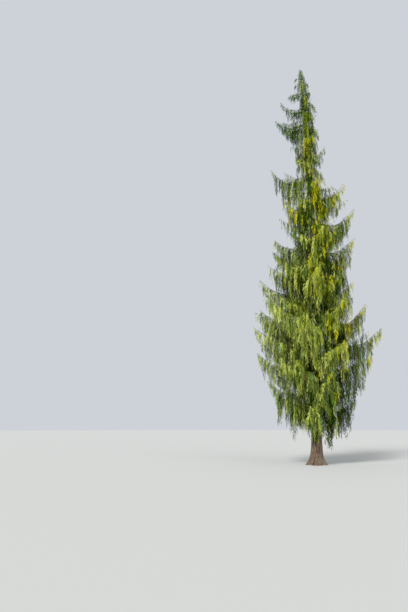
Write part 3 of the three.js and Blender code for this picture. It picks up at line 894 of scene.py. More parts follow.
def leader_strands(strands, chance, sizes):
    """Small drooping sprays all round the leader, longer towards its foot."""
    for i, share in enumerate(np.linspace(0.0, LEADER_LAST, LEADER_STRANDS)):
        length = LEADER_LENGTH + LEADER_GROWTH * (1 - share) ** LEADER_CURVE
        drop = length * chance.uniform(*LEADER_DROPS)
        turn = LEADER_TURN * i
        out = heading(turn) * length * chance.uniform(*LEADER_REACHES)
        sprig = sizes.sprig_length * (LEADER_SPRIG + LEADER_SPRIG_GROWTH * (1 - share))
        base = leader_line(share)
        strands.add(base, out, drop, LEADER_STEEP, turn + 90, sprig, LEADER_OWNER, LEADER_LIT)


# The numbers of the boughs whose sprays get painted light and stand out of the painted shade of the front,
# how much painted light they get, and how much the lesser boughs get among the others
BRIGHT_BOUGHS = (5, 10, 18, 20)
BRIGHT_LIT_SHARE = 1.5
LESSER_LIT_SHARE = 0.7
# The reach that the leader's sprays are set against
LEADER_REACH = 0.1


def lit_share_of(number):
    return BRIGHT_LIT_SHARE if number in BRIGHT_BOUGHS else 1.0


def all_strands():
    """Every strand of the tree, as columns."""
    sizes = bpy.context.scene.cypress_sizes
    boughs, masses = grown_tree()
    reaches = {bough.number: bough.reach for bough in boughs} | {LEADER_OWNER: LEADER_REACH}
    strands = Strands()
    for mass in masses:
        chance = np.random.default_rng(SPRAY_SEED + mass.owner)
        for spray in mass.sprays:
            # A spray gets painted shade near the trunk and painted light towards its bough's tip
            lit = min(1, math.hypot(spray.stem[0], spray.stem[1]) / reaches[mass.owner])
            spray_strands(strands, spray, mass.owner, lit * lit_share_of(mass.owner), chance, sizes)
    for order, bough in enumerate([*boughs, *lesser_boughs(sizes)]):
        chance = np.random.default_rng(BOUGH_SEED + order)
        full = order < len(boughs)
        if full:
            lit_share = lit_share_of(bough.number)
        else:
            lit_share = 1.0 if bough.foot > LESSER_TOP else LESSER_LIT_SHARE
        bough_branchlets(strands, bough, lit_share, chance, sizes)
        gap = sizes.shoot_gap if full else sizes.lesser_shoot_gap
        bough_shoots(strands, bough, gap, lit_share, chance, sizes)
    leader_strands(strands, np.random.default_rng(LEADER_STRAND_SEED), sizes)
    trunk_strands(strands, np.random.default_rng(TRUNK_SEED), sizes)
    return strands.columns()


# Meshes from arrays


class Part(NamedTuple):
    """Vertices, faces of one corner count, and the material slot of each face."""

    points: np.ndarray
    faces: np.ndarray
    slots: np.ndarray
    smooth: bool


def joined_mesh(name, parts, materials):
    """One object from several parts."""
    starts = np.cumsum([0] + [len(part.points) for part in parts])
    points = np.concatenate([part.points for part in parts])
    corners = np.concatenate(
        [(part.faces + start).ravel() for part, start in zip(parts, starts[:-1], strict=True)]
    )
    sizes = np.concatenate([np.full(len(part.faces), part.faces.shape[1]) for part in parts])
    slots = np.concatenate([part.slots for part in parts])
    mesh = bpy.data.meshes.new(name)
    mesh.vertices.add(len(points))
    mesh.vertices.foreach_set("co", points.astype(np.float32).ravel())
    mesh.loops.add(len(corners))
    mesh.loops.foreach_set("vertex_index", corners.astype(np.int32))
    mesh.polygons.add(len(sizes))
    mesh.polygons.foreach_set("loop_start", (np.cumsum(sizes) - sizes).astype(np.int32))
    mesh.polygons.foreach_set("material_index", slots.astype(np.int32))
    smooth = np.concatenate([np.full(len(part.faces), part.smooth) for part in parts])
    mesh.polygons.foreach_set("use_smooth", smooth)
    for material in materials:
        mesh.materials.append(material)
    mesh.validate()
    mesh.update()
    piece = bpy.data.objects.new(name, mesh)
    bpy.context.scene.collection.objects.link(piece)
    return piece


def closed_tubes(points):
    """The walls and the flat ends of tubes. points is tube x ring x side x 3."""
    count, rings, sides, _ = points.shape
    corner = np.arange(sides)
    after = (corner + 1) % sides
    ring = np.arange(rings - 1)[:, None] * sides
    quads = np.stack([ring + corner, ring + after, ring + sides + after, ring + sides + corner], axis=-1)
    each = np.arange(count)[:, None, None] * (rings * sides)
    walls = (quads.reshape(-1, 4)[None] + each).reshape(-1, 4)
    ends = np.concatenate([points[:, 0, ::-1], points[:, -1]])
    caps = np.arange(len(ends) * sides).reshape(-1, sides)
    return [
        Part(points.reshape(-1, 3), walls, np.zeros(len(walls), int), True),
        Part(ends.reshape(-1, 3), caps, np.zeros(len(caps), int), False),
    ]


def tubes(lines, radii, across, sides):
    """Round closed tubes, all with the same number of rings. lines is tube x ring x 3, radii is tube x
    ring, and across, one direction or one a tube, is never along its line."""
    along = np.gradient(lines, axis=1)
    over = unit(np.cross(along, across))
    side = unit(np.cross(over, along))
    turn = 2 * np.pi * np.arange(sides) / sides
    round_way = side[:, :, None] * np.cos(turn)[:, None] + over[:, :, None] * np.sin(turn)[:, None]
    return closed_tubes(lines[:, :, None] + round_way * radii[:, :, None, None])


# A sprig: a flat fern-like blade of slender teeth, left and right in turn along its midrib. Tooth places
# and lengths are shares of the sprig's length.
TOOTH_PLACES = (0, 0.3, 0.6, 1.0)
TOOTH_LENGTHS = (0.24, 0.36, 0.3, 0.13)
TOOTH_ANGLE = math.radians(38)
TOOTH_LIFT = 0.03
# How far a sprig droops at its tip, and how much that draws it back
SPRIG_DROOP = 0.3
DROOP_DRAW = 0.5


def sprig_pattern(teeth):
    """The corners (along, aside, lift) and faces of a sprig of length 1 with so many teeth on each side."""
    ribs = 2 * teeth + 2
    along = np.arange(ribs) / (ribs - 1)
    number = np.arange(2 * teeth)
    side = np.where(number % 2, -1, 1)
    middle = along[number + 1]
    length = np.interp(middle, TOOTH_PLACES, TOOTH_LENGTHS)
    midrib = np.stack([along, 0 * along, 0 * along], axis=1)
    forward = middle + length * math.cos(TOOTH_ANGLE)
    tips = np.stack([forward, side * length * math.sin(TOOTH_ANGLE), side * TOOTH_LIFT], axis=1)
    near = np.where(side > 0, number, number + 2)
    far = np.where(side > 0, number + 2, number)
    return np.concatenate([midrib, tips]), np.stack([near, far, ribs + number], axis=1)


def sprig_part(teeth, root, ahead, side, length, slots):
    """One flat toothed blade for each root. side is the direction of its teeth."""
    corners, blade = sprig_pattern(teeth)
    forward, sideways, lift = corners.T
    normal = np.cross(ahead, side)
    droop = SPRIG_DROOP * forward * forward
    size = length[:, None, None]
    points = (
        root[:, None]
        + size * ahead[:, None] * (forward - DROOP_DRAW * droop)[:, None]
        + size * side[:, None] * sideways[:, None]
        + size * normal[:, None] * lift[:, None]
        + size * DOWN * droop[:, None]
    )
    each = np.arange(len(root))[:, None, None] * len(corners)
    faces = (blade[None] + each).reshape(-1, 3)
    return Part(points.reshape(-1, 3), faces, np.repeat(slots, len(blade)), False)


# Foliage tints, each with its place on the crown; the dark ones paint shade and the bright ones paint light
TINTS = (
    "shade_green",
    "deep_green",
    "blue_green",
    "olive_green",
    "grey_green",
    "sage_green",
    "pale_sage",
    "golden_green",
    "bright_gold",
    "dead_brown",
)
# How much of each tint is dealt out at each height
TINT_HEIGHTS = (0, 3.0, 5.0, 7.5, 10.0, 13.0, 14.5, 16.2)
TINT_SHARES = (
    (2, 3, 1, 1, 4, 3, 1, 0, 0, 0.1),
    (1.2, 1.6, 1, 1, 5, 6, 3.2, 0.5, 0, 0.15),
    (1.0, 1.3, 0.5, 1.5, 3, 6.5, 5, 2, 0.7, 0.15),
    (1, 2, 0, 3, 2, 4, 2.5, 4, 1.5, 0.15),
    (1, 2, 0, 4, 1, 2, 1.5, 6, 2, 0.15),
    (2, 3, 1, 6, 1, 0.5, 0, 3, 0.5, 0.2),
    (3, 5, 2, 6, 2, 0.5, 0, 1.6, 0, 0.1),
    (1, 3, 12, 0, 2, 0, 0, 0, 0, 0),
)
CROWN_HEIGHTS = (0, 2, 5, 6.5, 8, 10, 12, 14, 16.2)
CROWN_RADII = (1.2, 1.6, 2.3, 2.2, 1.8, 1.3, 0.6, 0.45, 0.15)
# How far the right side lies in shade at each height
SHADE_HEIGHTS = (0, 9, 10.5, 11.5, 12.5, 16.2)
SHADE_AMOUNTS = (1, 1, 0.6, 0.3, 0.7, 0.5)
# Where shade starts to the right and to the left of the trunk, as a share of the crown, and how it grows
RIGHT_SHADE_START = 0.22
RIGHT_SHADE = 1.6
LEFT_SHADE_START = 0.2
LEFT_SHADE = 0.9
# The tips that stand out of the shade on the right, below the spire, and how much of it they keep
LIT_TIP_SHARE = 0.85
LIT_TIP_TOP = 11
LIT_TIP_SHADE = 0.2
# How much of its place's painted light a strand deep inside keeps
LEAST_LIT = 0.4
# How the shares of the dark, middle and bright tints follow painted light and painted shade
DARK_INSIDE = 1.7
DARK_SHADED = 4.5
DARK_LEAST = 0.3
MIDDLE_LEAST = 0.3
BRIGHT_LEAST = 0.05
BRIGHT_GROWTH = 1.4
BRIGHT_CURVE = 1.5
BRIGHT_SHADED = 0.85
# How gold and sage change from left to right and from bough to bough
GOLD_TO_RIGHT = 1.2
GOLD_SCATTER = (-0.5, 0.5)
GOLD_LIMITS = (0.2, 1.7)
SAGE_AND_GOLD = 1.8
# The young tips that stand out of the spire: above which height, and past how many times the crown's radius
YOUNG_TIPS = 11
YOUNG_CROWN = 1.35
# The young tips' tints lean to the dark greens: partly their own dark blue-green, partly painted shade
YOUNG_SHARES = (4, 6, 4, 1, 0, 0, 0, 0, 0, 0)
DARK_TINTS = ("shade_green", "deep_green")
MIDDLE_TINTS = ("blue_green", "olive_green", "grey_green", "sage_green")
BRIGHT_TINTS = ("pale_sage", "golden_green", "bright_gold")
GOLDEN_TINTS = ("olive_green", "golden_green", "bright_gold")
SAGE_TINTS = ("grey_green", "sage_green", "pale_sage")


def deal_tints(place, lit, chance):
    """A tint for each place: by height, golden to the right and sage to the left, with painted shade inside
    the crown, low on its right side and at its left edge, and painted light at the bough tips. The places
    of one call lean together to gold or to sage."""
    height = place[:, 2]
    columns = np.transpose(TINT_SHARES)
    shares = np.stack([np.interp(height, TINT_HEIGHTS, column) for column in columns], axis=1)
    # How lit a place is painted, from its share of the crown and its strand's lit, and the painted shade on
    # the right side and at the left edge
    painted_light = crown_share(place) * (LEAST_LIT + (1 - LEAST_LIT) * lit)
    crown = np.interp(height, CROWN_HEIGHTS, CROWN_RADII)
    side = (place[:, 0] - trunk_centre(height)[:, 0]) / crown
    shaded = np.clip(RIGHT_SHADE * (side - RIGHT_SHADE_START), 0, 1)
    shaded *= np.interp(height, SHADE_HEIGHTS, SHADE_AMOUNTS)
    shaded += LEFT_SHADE * np.clip(-side - LEFT_SHADE_START, 0, 1)
    shaded[(painted_light > LIT_TIP_SHARE) & (height < LIT_TIP_TOP) & (side > 0)] *= LIT_TIP_SHADE
    golden = np.clip(1.0 + GOLD_TO_RIGHT * side + chance.uniform(*GOLD_SCATTER), *GOLD_LIMITS)
    bright = painted_light**BRIGHT_CURVE * (1 - BRIGHT_SHADED * shaded)
    for tints, amount in (
        (DARK_TINTS, DARK_LEAST + DARK_INSIDE * (1 - painted_light) + DARK_SHADED * shaded),
        (MIDDLE_TINTS, MIDDLE_LEAST + (1 - MIDDLE_LEAST) * painted_light),
        (GOLDEN_TINTS, golden),
        (SAGE_TINTS, SAGE_AND_GOLD - golden),
        (BRIGHT_TINTS, BRIGHT_LEAST + BRIGHT_GROWTH * bright),
    ):
        shares[:, [TINTS.index(tint) for tint in tints]] *= amount[:, None]
    young = (crown_share(place, YOUNG_CROWN) >= 1) & (height > YOUNG_TIPS)
    shares[young] = YOUNG_SHARES
    total = np.cumsum(shares, axis=1)
    picked = chance.random(len(place)) * total[:, -1]
    return (picked[:, None] > total).sum(axis=1)


def crown_share(place, wider=1.0):
    """How far out in the crown a place is: 0 at the trunk's middle and 1 at the crown's edge, or at that
    edge made wider by a factor."""
    level = place[:, :2] - trunk_centre(place[:, 2])[:, :2]
    crown = np.interp(place[:, 2], CROWN_HEIGHTS, CROWN_RADII) * wider
    return np.clip(np.hypot(*level.T) / crown, 0, 1)


# The sprigs of a strand: the fewest, where the first stands and how much room is left after the last, how
# the direction of the pairs turns along the strand, the angle at which they leave it and by how much it
# closes towards the tip, that of the last one, their roll, and their sizes along the strand
LEAST_SPRIGS = 3
SPRIG_START = 0.9
SPRIG_END = 0.6
ALONG_STEP = 0.02
SPRIG_TWIST = 70
TWIST_SCATTER = 16
SPRIG_ANGLE = 37
SPRIG_ANGLE_SCATTER = 9
SPRIG_ANGLE_CLOSES = 15
LAST_SPRIG_ANGLE = 0.12
ROLL_SCATTER = 28
PROFILE_START = 0.16
PROFILE_SPAN = 0.72
PROFILE_CURVE = 0.8
SIZE_SCATTER = (0.75, 1.25)


def strand_sprigs(strands, chosen, teeth, grown, sizes, chance):
    """The sprigs of the chosen strands, grown larger by a factor: left and right in turn, with one at each
    tip."""
    length = np.hypot(strands["drop"][chosen], np.linalg.norm(strands["lean"][chosen], axis=1))
    gap = grown * sizes.sprig_gap * strands["sprig"][chosen] / sizes.sprig_length
    counts = np.maximum(LEAST_SPRIGS, np.round(length / gap).astype(int))
    order = np.repeat(np.arange(len(chosen)), counts)
    number = np.arange(counts.sum()) - np.repeat(np.cumsum(counts) - counts, counts)
    picked = chosen[order]
    share = (number + SPRIG_START) / (counts[order] + SPRIG_END)
    root = strand_points(strands, picked, share)
    above = strand_points(strands, picked, share - ALONG_STEP)
    along = unit(strand_points(strands, picked, share + ALONG_STEP) - above)
    twist = strands["facing"][picked] + SPRIG_TWIST * share + chance.normal(0, TWIST_SCATTER, len(picked))
    way = heading(twist) * np.where(number % 2, 1, -1)[:, None]
    closes = SPRIG_ANGLE_CLOSES * share
    spread = np.radians(chance.normal(SPRIG_ANGLE, SPRIG_ANGLE_SCATTER, len(picked)) - closes)
    spread[number == counts[order] - 1] = LAST_SPRIG_ANGLE
    level = unit(way - along * np.einsum("ij,ij->i", way, along)[:, None])
    ahead = level * np.sin(spread)[:, None] + along * np.cos(spread)[:, None]
    side = level * np.cos(spread)[:, None] - along * np.sin(spread)[:, None]
    roll = np.radians(chance.normal(0, ROLL_SCATTER, len(picked)))
    side = side * np.cos(roll)[:, None] + np.cross(ahead, side) * np.sin(roll)[:, None]
    profile = np.sin(np.pi * (PROFILE_START + PROFILE_SPAN * share)) ** PROFILE_CURVE
    size = grown * strands["sprig"][picked] * profile * chance.uniform(*SIZE_SCATTER, len(picked))
    middles = strand_points(strands, chosen, 0.5)
    tints = deal_tints(middles, strands["lit"][chosen], chance)[order]
    return sprig_part(teeth, root, ahead, side, size, tints)


# Node groups and materials


def node(tree, kind, inputs=None, **values):
    """A node with these values. Each input is a number, a colour, or the output of a node to link."""
    made = tree.nodes.new(kind)
    for name, value in values.items():
        setattr(made, name, value)
    for name, given in (inputs or {}).items():
        if isinstance(given, bpy.types.NodeSocket):
            tree.links.new(given, made.inputs[name])
        else:
            made.inputs[name].default_value = given
    return made


def reckoned(tree, operation, first, second):
    return node(tree, "ShaderNodeMath", {0: first, 1: second}, operation=operation).outputs[0]


def mixed(tree, share, first, second):
    inputs = {"Factor": share, "A": first, "B": second}
    return node(tree, "ShaderNodeMix", inputs, data_type="RGBA").outputs["Result"]


def noise_above(tree, low, high, **inputs):
    """Smooth noise, 0 where it is below low and 1 where it is above high."""
    made = node(tree, "ShaderNodeTexNoise", inputs, noise_dimensions="3D")
    limits = {"Value": made.outputs["Fac"], "From Min": low, "From Max": high}
    return node(tree, "ShaderNodeMapRange", limits, interpolation_type="SMOOTHSTEP").outputs["Result"]


# The noise of the fibres and of the lichen, and between which of its values ridges and patches rise
FIBRE_NOISE = {"Scale": 1.0, "Detail": 5.0, "Roughness": 0.62, "Distortion": 0.6}
FIBRE_RISE = (0.36, 0.62)
LICHEN_NOISE = {"Scale": 3.5, "Detail": 4.0}
LICHEN_RISE = (0.52, 0.7)
FURROW_ROUGHNESS = 0.98
RIDGE_ROUGHNESS = 0.82
FIBRE_SOCKETS = {
    ("INPUT", "NodeSocketFloat"): ("Fibre Width", "Fibre Stretch", "Lichen", "Relief"),
    ("INPUT", "NodeSocketColor"): ("Ridge Colour", "Furrow Colour", "Lichen Colour"),
    ("OUTPUT", "NodeSocketFloat"): ("Height", "Roughness"),
    ("OUTPUT", "NodeSocketColor"): ("Colour",),
}


def fibre_group():
    """Long upright bark fibres, with furrows between them and patches of lichen."""
    found = bpy.data.node_groups.get("bark_fibres")
    if found:
        return found
    group = bpy.data.node_groups.new("bark_fibres", "ShaderNodeTree")
    for (side, kind), names in FIBRE_SOCKETS.items():
        for name in names:
            group.interface.new_socket(name, in_out=side, socket_type=kind)
    given = node(group, "NodeGroupInput").outputs
    place = node(group, "ShaderNodeTexCoord").outputs["Object"]
    finer = reckoned(group, "DIVIDE", 1.0, given["Fibre Width"])
    slower = reckoned(group, "DIVIDE", finer, given["Fibre Stretch"])
    scale = node(group, "ShaderNodeCombineXYZ", {"X": finer, "Y": finer, "Z": slower}).outputs[0]
    stretched = node(group, "ShaderNodeVectorMath", {0: place, 1: scale}, operation="MULTIPLY").outputs[0]
    ridges = noise_above(group, *FIBRE_RISE, Vector=stretched, **FIBRE_NOISE)
    patches = noise_above(group, *LICHEN_RISE, Vector=place, **LICHEN_NOISE)
    raised = reckoned(group, "MULTIPLY", ridges, given["Relief"])
    base = mixed(group, raised, given["Furrow Colour"], given["Ridge Colour"])
    amount = reckoned(group, "MULTIPLY", patches, given["Lichen"])
    overgrown = mixed(group, amount, base, given["Lichen Colour"])
    limits = {"Value": ridges, "To Min": FURROW_ROUGHNESS, "To Max": RIDGE_ROUGHNESS}
    rough = node(group, "ShaderNodeMapRange", limits).outputs["Result"]
    node(group, "NodeGroupOutput", {"Colour": overgrown, "Height": ridges, "Roughness": rough})
    return group


# Bark at three scales: how wide its fibres are, how many times longer, and how deep its furrows
TRUNK_BARK = {"width": 0.012, "stretch": 16, "depth": 0.004}
BOUGH_BARK = {"width": 0.008, "stretch": 5, "depth": 0.003}
TWIG_BARK = {"width": 0.004, "stretch": 4, "depth": 0.001}
LICHEN_SHARE = 0.3
BUMP_STRENGTH = 0.8
BARK_SPECULAR = 0.25
# How far the ridges rise where the mesh has no relief of its own
PLAIN_RELIEF = 0.8


def bark_material(name, ridge, furrow, width, stretch, depth):
    """Fibrous bark at one scale, with a share of it under lichen."""
    material = bpy.data.materials.new(name)
    material.use_nodes = True
    tree = material.node_tree
    inputs = {
        "Fibre Width": width,
        "Fibre Stretch": stretch,
        "Ridge Colour": (*ridge, 1),
        "Furrow Colour": (*furrow, 1),
        "Lichen Colour": (*bpy.context.scene.cypress_bark.lichen, 1),
        "Lichen": LICHEN_SHARE,
        "Relief": PLAIN_RELIEF,
    }
    fibres = node(tree, "ShaderNodeGroup", inputs, node_tree=fibre_group(), name="fibres")
    bumps = {"Strength": BUMP_STRENGTH, "Distance": depth, "Height": fibres.outputs["Height"]}
    bump = node(tree, "ShaderNodeBump", bumps)
    shader = tree.nodes["Principled BSDF"]
    shader.inputs["Specular IOR Level"].default_value = BARK_SPECULAR
    tree.links.new(fibres.outputs["Colour"], shader.inputs["Base Color"])
    tree.links.new(fibres.outputs["Roughness"], shader.inputs["Roughness"])
    tree.links.new(bump.outputs["Normal"], shader.inputs["Normal"])
    return material


def plain_material(name, colour, roughness, specular):
    """A material of one plain colour."""
    found = bpy.data.materials.get(name)
    if found:
        return found
    material = bpy.data.materials.new(name)
    material.use_nodes = True
    shader = material.node_tree.nodes["Principled BSDF"]
    shader.inputs["Base Color"].default_value = (*colour, 1)
    shader.inputs["Roughness"].default_value = roughness
    shader.inputs["Specular IOR Level"].default_value = specular
    return material


def tint_materials():
    colours = bpy.context.scene.cypress_colours
    return [
        plain_material(f"foliage_{tint}", getattr(colours, tint), roughness=0.8, specular=0.03)
        for tint in TINTS
    ]


# Sizes and colours that a user would change


def number_property(name, description, default, **limits):
    return FloatProperty(name=name, description=description, default=default, **limits)


def length_property(name, description, default):
    return number_property(name, description, default, min=0, unit="LENGTH")


# The brightest value of a screen's colour, and how its values follow the light
SCREEN_WHITE = 255
SCREEN_GAMMA = 2.2


def colour_property(name, description, red, green, blue):
    """A colour given as 0 to 255 for a screen, kept as linear light."""
    light = [(value / SCREEN_WHITE) ** SCREEN_GAMMA for value in (red, green, blue)]
    return FloatVectorProperty(
        name=name, description=description, default=light, size=3, min=0, max=1, subtype="COLOR"
    )


class CypressSizes(bpy.types.PropertyGroup):
    """Sizes of the finer growth."""

    ridge_depth: length_property("Ridge depth", "How far bark ridges stand out near the ground", 0.02)
    strand_gap: length_property("Strand gap", "Distance between strands across a spray", 0.076)
    branchlet_gap: length_property("Branchlet gap", "Distance between side shoots along a bough", 0.1)
    branchlet_length: length_property("Branchlet length", "Length of the longest side shoots", 0.42)
    hang_gap: length_property("Hanging gap", "Distance between strands along a side shoot", 0.088)
    shoot_gap: length_property("Shoot gap", "Distance between the short shoots on top of a bough", 0.034)
    lesser_shoot_gap: length_property("Lesser shoot gap", "The same distance on a finer bough", 0.075)
    lesser_gap: length_property("Lesser bough gap", "Height between the finer boughs", 0.2)
    sprig_gap: length_property("Sprig gap", "Distance between sprigs along a strand", 0.0585)
    sprig_length: length_property("Sprig length", "Length of the longest sprigs", 0.128)
    rachis_radius: length_property("Strand radius", "Radius of the woody string inside a strand", 0.0028)
    spire_foot: length_property("Spire foot", "Height above which the trunk carries strands too", 2.4)
    spire_gap: length_property("Spire gap", "Height between the trunk's own strands", 0.016)


class CypressColours(bpy.types.PropertyGroup):
    """The tints of the foliage, dealt out by strand. shade_green and deep_green are painted shade,
    deep_green also the older sprays, and the lit tints sage_green, pale_sage, golden_green and bright_gold
    carry painted light.
    """

    shade_green: colour_property("Shade green", "Deep inside the crown", 36, 52, 12)
    deep_green: colour_property("Deep green", "Shaded and older sprays", 58, 80, 20)
    blue_green: colour_property("Blue green", "The leader and the highest tips", 88, 116, 80)
    olive_green: colour_property("Olive green", "Ordinary foliage of the upper crown", 112, 132, 28)
    grey_green: colour_property("Grey green", "Ordinary foliage low down", 112, 134, 62)
    sage_green: colour_property("Sage green", "Lit foliage of the lower crown", 154, 166, 72)
    pale_sage: colour_property("Pale sage", "The brightest sprays of the lower crown", 196, 204, 106)
    golden_green: colour_property("Golden green", "Lit foliage of the upper crown", 174, 170, 12)
    bright_gold: colour_property("Bright gold", "The brightest sprays of the upper crown", 204, 196, 30)
    dead_brown: colour_property("Dead brown", "The few dead sprays", 112, 100, 50)


class BarkColours(bpy.types.PropertyGroup):
    """The colours of the bark."""

    ridge: colour_property("Ridges", "Weathered ridges of the bark", 140, 122, 103)
    furrow: colour_property("Furrows", "The depth of the furrows", 62, 46, 36)
    lichen: colour_property("Lichen", "Patches of lichen", 132, 138, 112)
    bough: colour_property("Boughs", "The bark of the boughs and twigs", 112, 106, 68)
    bough_furrow: colour_property("Bough furrows", "The furrows of the boughs' bark", 58, 52, 32)


class StageSettings(bpy.types.PropertyGroup):
    """The camera, the light and the floor."""

    eye_height: length_property("Eye height", "Height of the camera above the ground", 1.6)
    distance: length_property("Distance", "Level distance from the camera to the tree", 23.15)
    aside: number_property(
        "Aside", "How far the camera looks to the left of the tree", math.radians(10.40), subtype="ANGLE"
    )
    upward: number_property("Upward", "How far the camera looks up", math.radians(10.94), subtype="ANGLE")
    lens: number_property("Lens", "Focal length for a frame 36 mm high", 35, unit="CAMERA")
    floor: colour_property("Floor", "The plain floor", 180, 180, 176)
    sky: colour_property("Sky", "The light from all round", 226, 231, 238)
    key_strength: number_property("Key light", "Strength of the main light", 3.6)
    fill_strength: number_property("Fill light", "Strength of the light from the right", 0.8)
    sky_strength: number_property("Sky light", "Strength of the light from all round", 0.8)


# Operators


def finished(piece, slot, *nodes):
    """Rides on the tree's one body and hides the given nodes of the frame."""
    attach(piece, "root")
    if nodes:
        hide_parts(*nodes)
    return piece


# The longer side of the frame in millimetres, and how far the camera sees
FRAME_LENGTH = 36
FARTHEST = 300


class CYPRESS_OT_camera(bpy.types.Operator):
    """Set the camera at the photograph's viewing angle"""

    bl_idname = "cypress.camera"
    bl_label = "Set the camera"

    def execute(self, context):
        stage = context.scene.cypress_stage
        data = bpy.data.cameras.new("camera")
        data.lens = stage.lens
        data.sensor_width = FRAME_LENGTH
        data.clip_end = FARTHEST
        camera = bpy.data.objects.new("camera", data)
        camera.location = (0, -stage.distance, stage.eye_height)
        camera.rotation_euler = (math.pi / 2 + stage.upward, 0, stage.aside)
        context.scene.collection.objects.link(camera)
        context.scene.camera = camera
        return {"FINISHED"}


FLOOR_RADIUS = 90
FLOOR_SIDES = 96
# How each lamp is turned, and how wide it shines
KEY_LIGHT = {"turn": (50, 0, -16), "width": 16}
FILL_LIGHT = {"turn": (62, 0, 35), "width": 50}


class CYPRESS_OT_stage(bpy.types.Operator):
    """Lay the pale floor and set the soft light"""

    bl_idname = "cypress.stage"
    bl_label = "Lay the stage"

    def execute(self, context):
        stage = context.scene.cypress_stage
        corners = np.arange(FLOOR_SIDES)
        rim = heading(corners * 360 / FLOOR_SIDES) * FLOOR_RADIUS
        floor = joined_mesh(
            "floor",
            [Part(rim, corners[None], np.zeros(1, int), False)],
            [plain_material("floor", stage.floor, roughness=0.9, specular=0.2)],
        )
        world = bpy.data.worlds.new("sky")
        world.use_nodes = True
        background = world.node_tree.nodes["Background"]
        context.scene.view_settings.view_transform = "Standard"
        background.inputs["Color"].default_value = (*stage.sky, 1)
        background.inputs["Strength"].default_value = stage.sky_strength
        context.scene.world = world
        self.add_sun(context, "key_light", stage.key_strength, **KEY_LIGHT)
        self.add_sun(context, "fill_light", stage.fill_strength, **FILL_LIGHT)
        return {"FINISHED"}

    def add_sun(self, context, name, strength, turn, width):
        data = bpy.data.lights.new(name, "SUN")
        data.energy = strength
        data.angle = math.radians(width)
        light = bpy.data.objects.new(name, data)
        light.rotation_euler = [math.radians(angle) for angle in turn]
        context.scene.collection.objects.link(light)


# The bark's strips: how many go round the trunk, how far they wander and how fast, how fast they change
# upwards, how sharply they end, and the flakes on them
STRIPS_ROUND = 24
STRIP_WANDER = 0.12
WANDER_ROUND = 3
WANDER_UP = 0.9
STRIPS_UP = 1.7
STRIP_EDGE = 3.2
FLAKES_ROUND = 2.7
FLAKES_UP = 9
FLAKE_DEPTH = 0.4
# The trunk's mesh: its sides, its rings, which stand close up to a height, and how deep the relief is in
# the thin top and how far it is sunk
TRUNK_SIDES = 144
CLOSE_RINGS_TOP = 2.6
CLOSE_RING_GAP = 0.028
UPPER_RINGS = 30
TOP_RELIEF = 0.25
RELIEF_SHARE = 0.5
RELIEF_SUNK = 0.35
RELIEF_LAYER = "bark_relief"


def noise_round(angle, around, up):
    """Smooth noise on a column of radius around, at an angle and a height."""
    return noise.noise(Vector((around * math.cos(angle), around * math.sin(angle), up)))


def bark_relief(angle, height):
    """How far the bark stands out, from -1 to 1: long narrow strips that wander and run together."""
    wander = angle + STRIP_WANDER * noise_round(angle, WANDER_ROUND, WANDER_UP * height)
    wraps = STRIPS_ROUND / (2 * math.pi)
    strips = 1 - STRIP_EDGE * abs(noise_round(wander, wraps, STRIPS_UP * height))
    flakes = noise_round(wander, wraps * FLAKES_ROUND, FLAKES_UP * height)
    return max(-1.0, min(1.0, strips + FLAKE_DEPTH * flakes))


class CYPRESS_OT_trunk(bpy.types.Operator):
    """Grow the trunk with the relief of its bark"""

    bl_idname = "cypress.trunk"
    bl_label = "Grow the trunk"

    def execute(self, context):
        sizes = context.scene.cypress_sizes
        low = np.arange(0, CLOSE_RINGS_TOP, CLOSE_RING_GAP)
        heights = np.append(low, np.linspace(CLOSE_RINGS_TOP, TRUNK_TOP, UPPER_RINGS))
        turns = 360 * np.arange(TRUNK_SIDES) / TRUNK_SIDES
        angles = np.radians(turns)
        radii = flare_radius(heights[:, None], angles[None])
        relief = np.array([[bark_relief(angle, height) for angle in angles] for height in heights])
        depth = np.minimum(1, TOP_RELIEF + (1 - TOP_RELIEF) * radii / TRUNK_RADIUS)
        radii = radii + sizes.ridge_depth * depth * (relief * RELIEF_SHARE - RELIEF_SUNK)
        points = trunk_centre(heights)[:, None] + heading(turns) * radii[..., None]
        colours = context.scene.cypress_bark
        bark = bark_material("trunk_bark", colours.ridge, colours.furrow, **TRUNK_BARK)
        piece = joined_mesh("trunk_bark", closed_tubes(points[None]), [bark])
        each = np.concatenate([relief.ravel(), relief[0, ::-1], relief[-1]])
        layer = piece.data.attributes.new(RELIEF_LAYER, "FLOAT", "POINT")
        layer.data.foreach_set("value", (0.5 + 0.5 * each).astype(np.float32))
        rise = node(bark.node_tree, "ShaderNodeAttribute", attribute_name=RELIEF_LAYER)
        fibres = bark.node_tree.nodes["fibres"]
        bark.node_tree.links.new(rise.outputs["Fac"], fibres.inputs["Relief"])
        finished(piece, "bark", "trunk")
        return {"FINISHED"}


# The boughs' mesh: how many rings and sides it has, how thick the lesser boughs are, how the rings crowd
# towards the foot, and how a bough narrows and swells in knots
BOUGH_MESH = {"rings": 30, "sides": 8, "thickness": 1.0}
LESSER_MESH = {"rings": 14, "sides": 5, "thickness": 0.5}
RING_CROWDING = 1.1
BOUGH_NARROWS = 0.7
KNOT_RATE = 9
KNOT_SWELL = 0.12


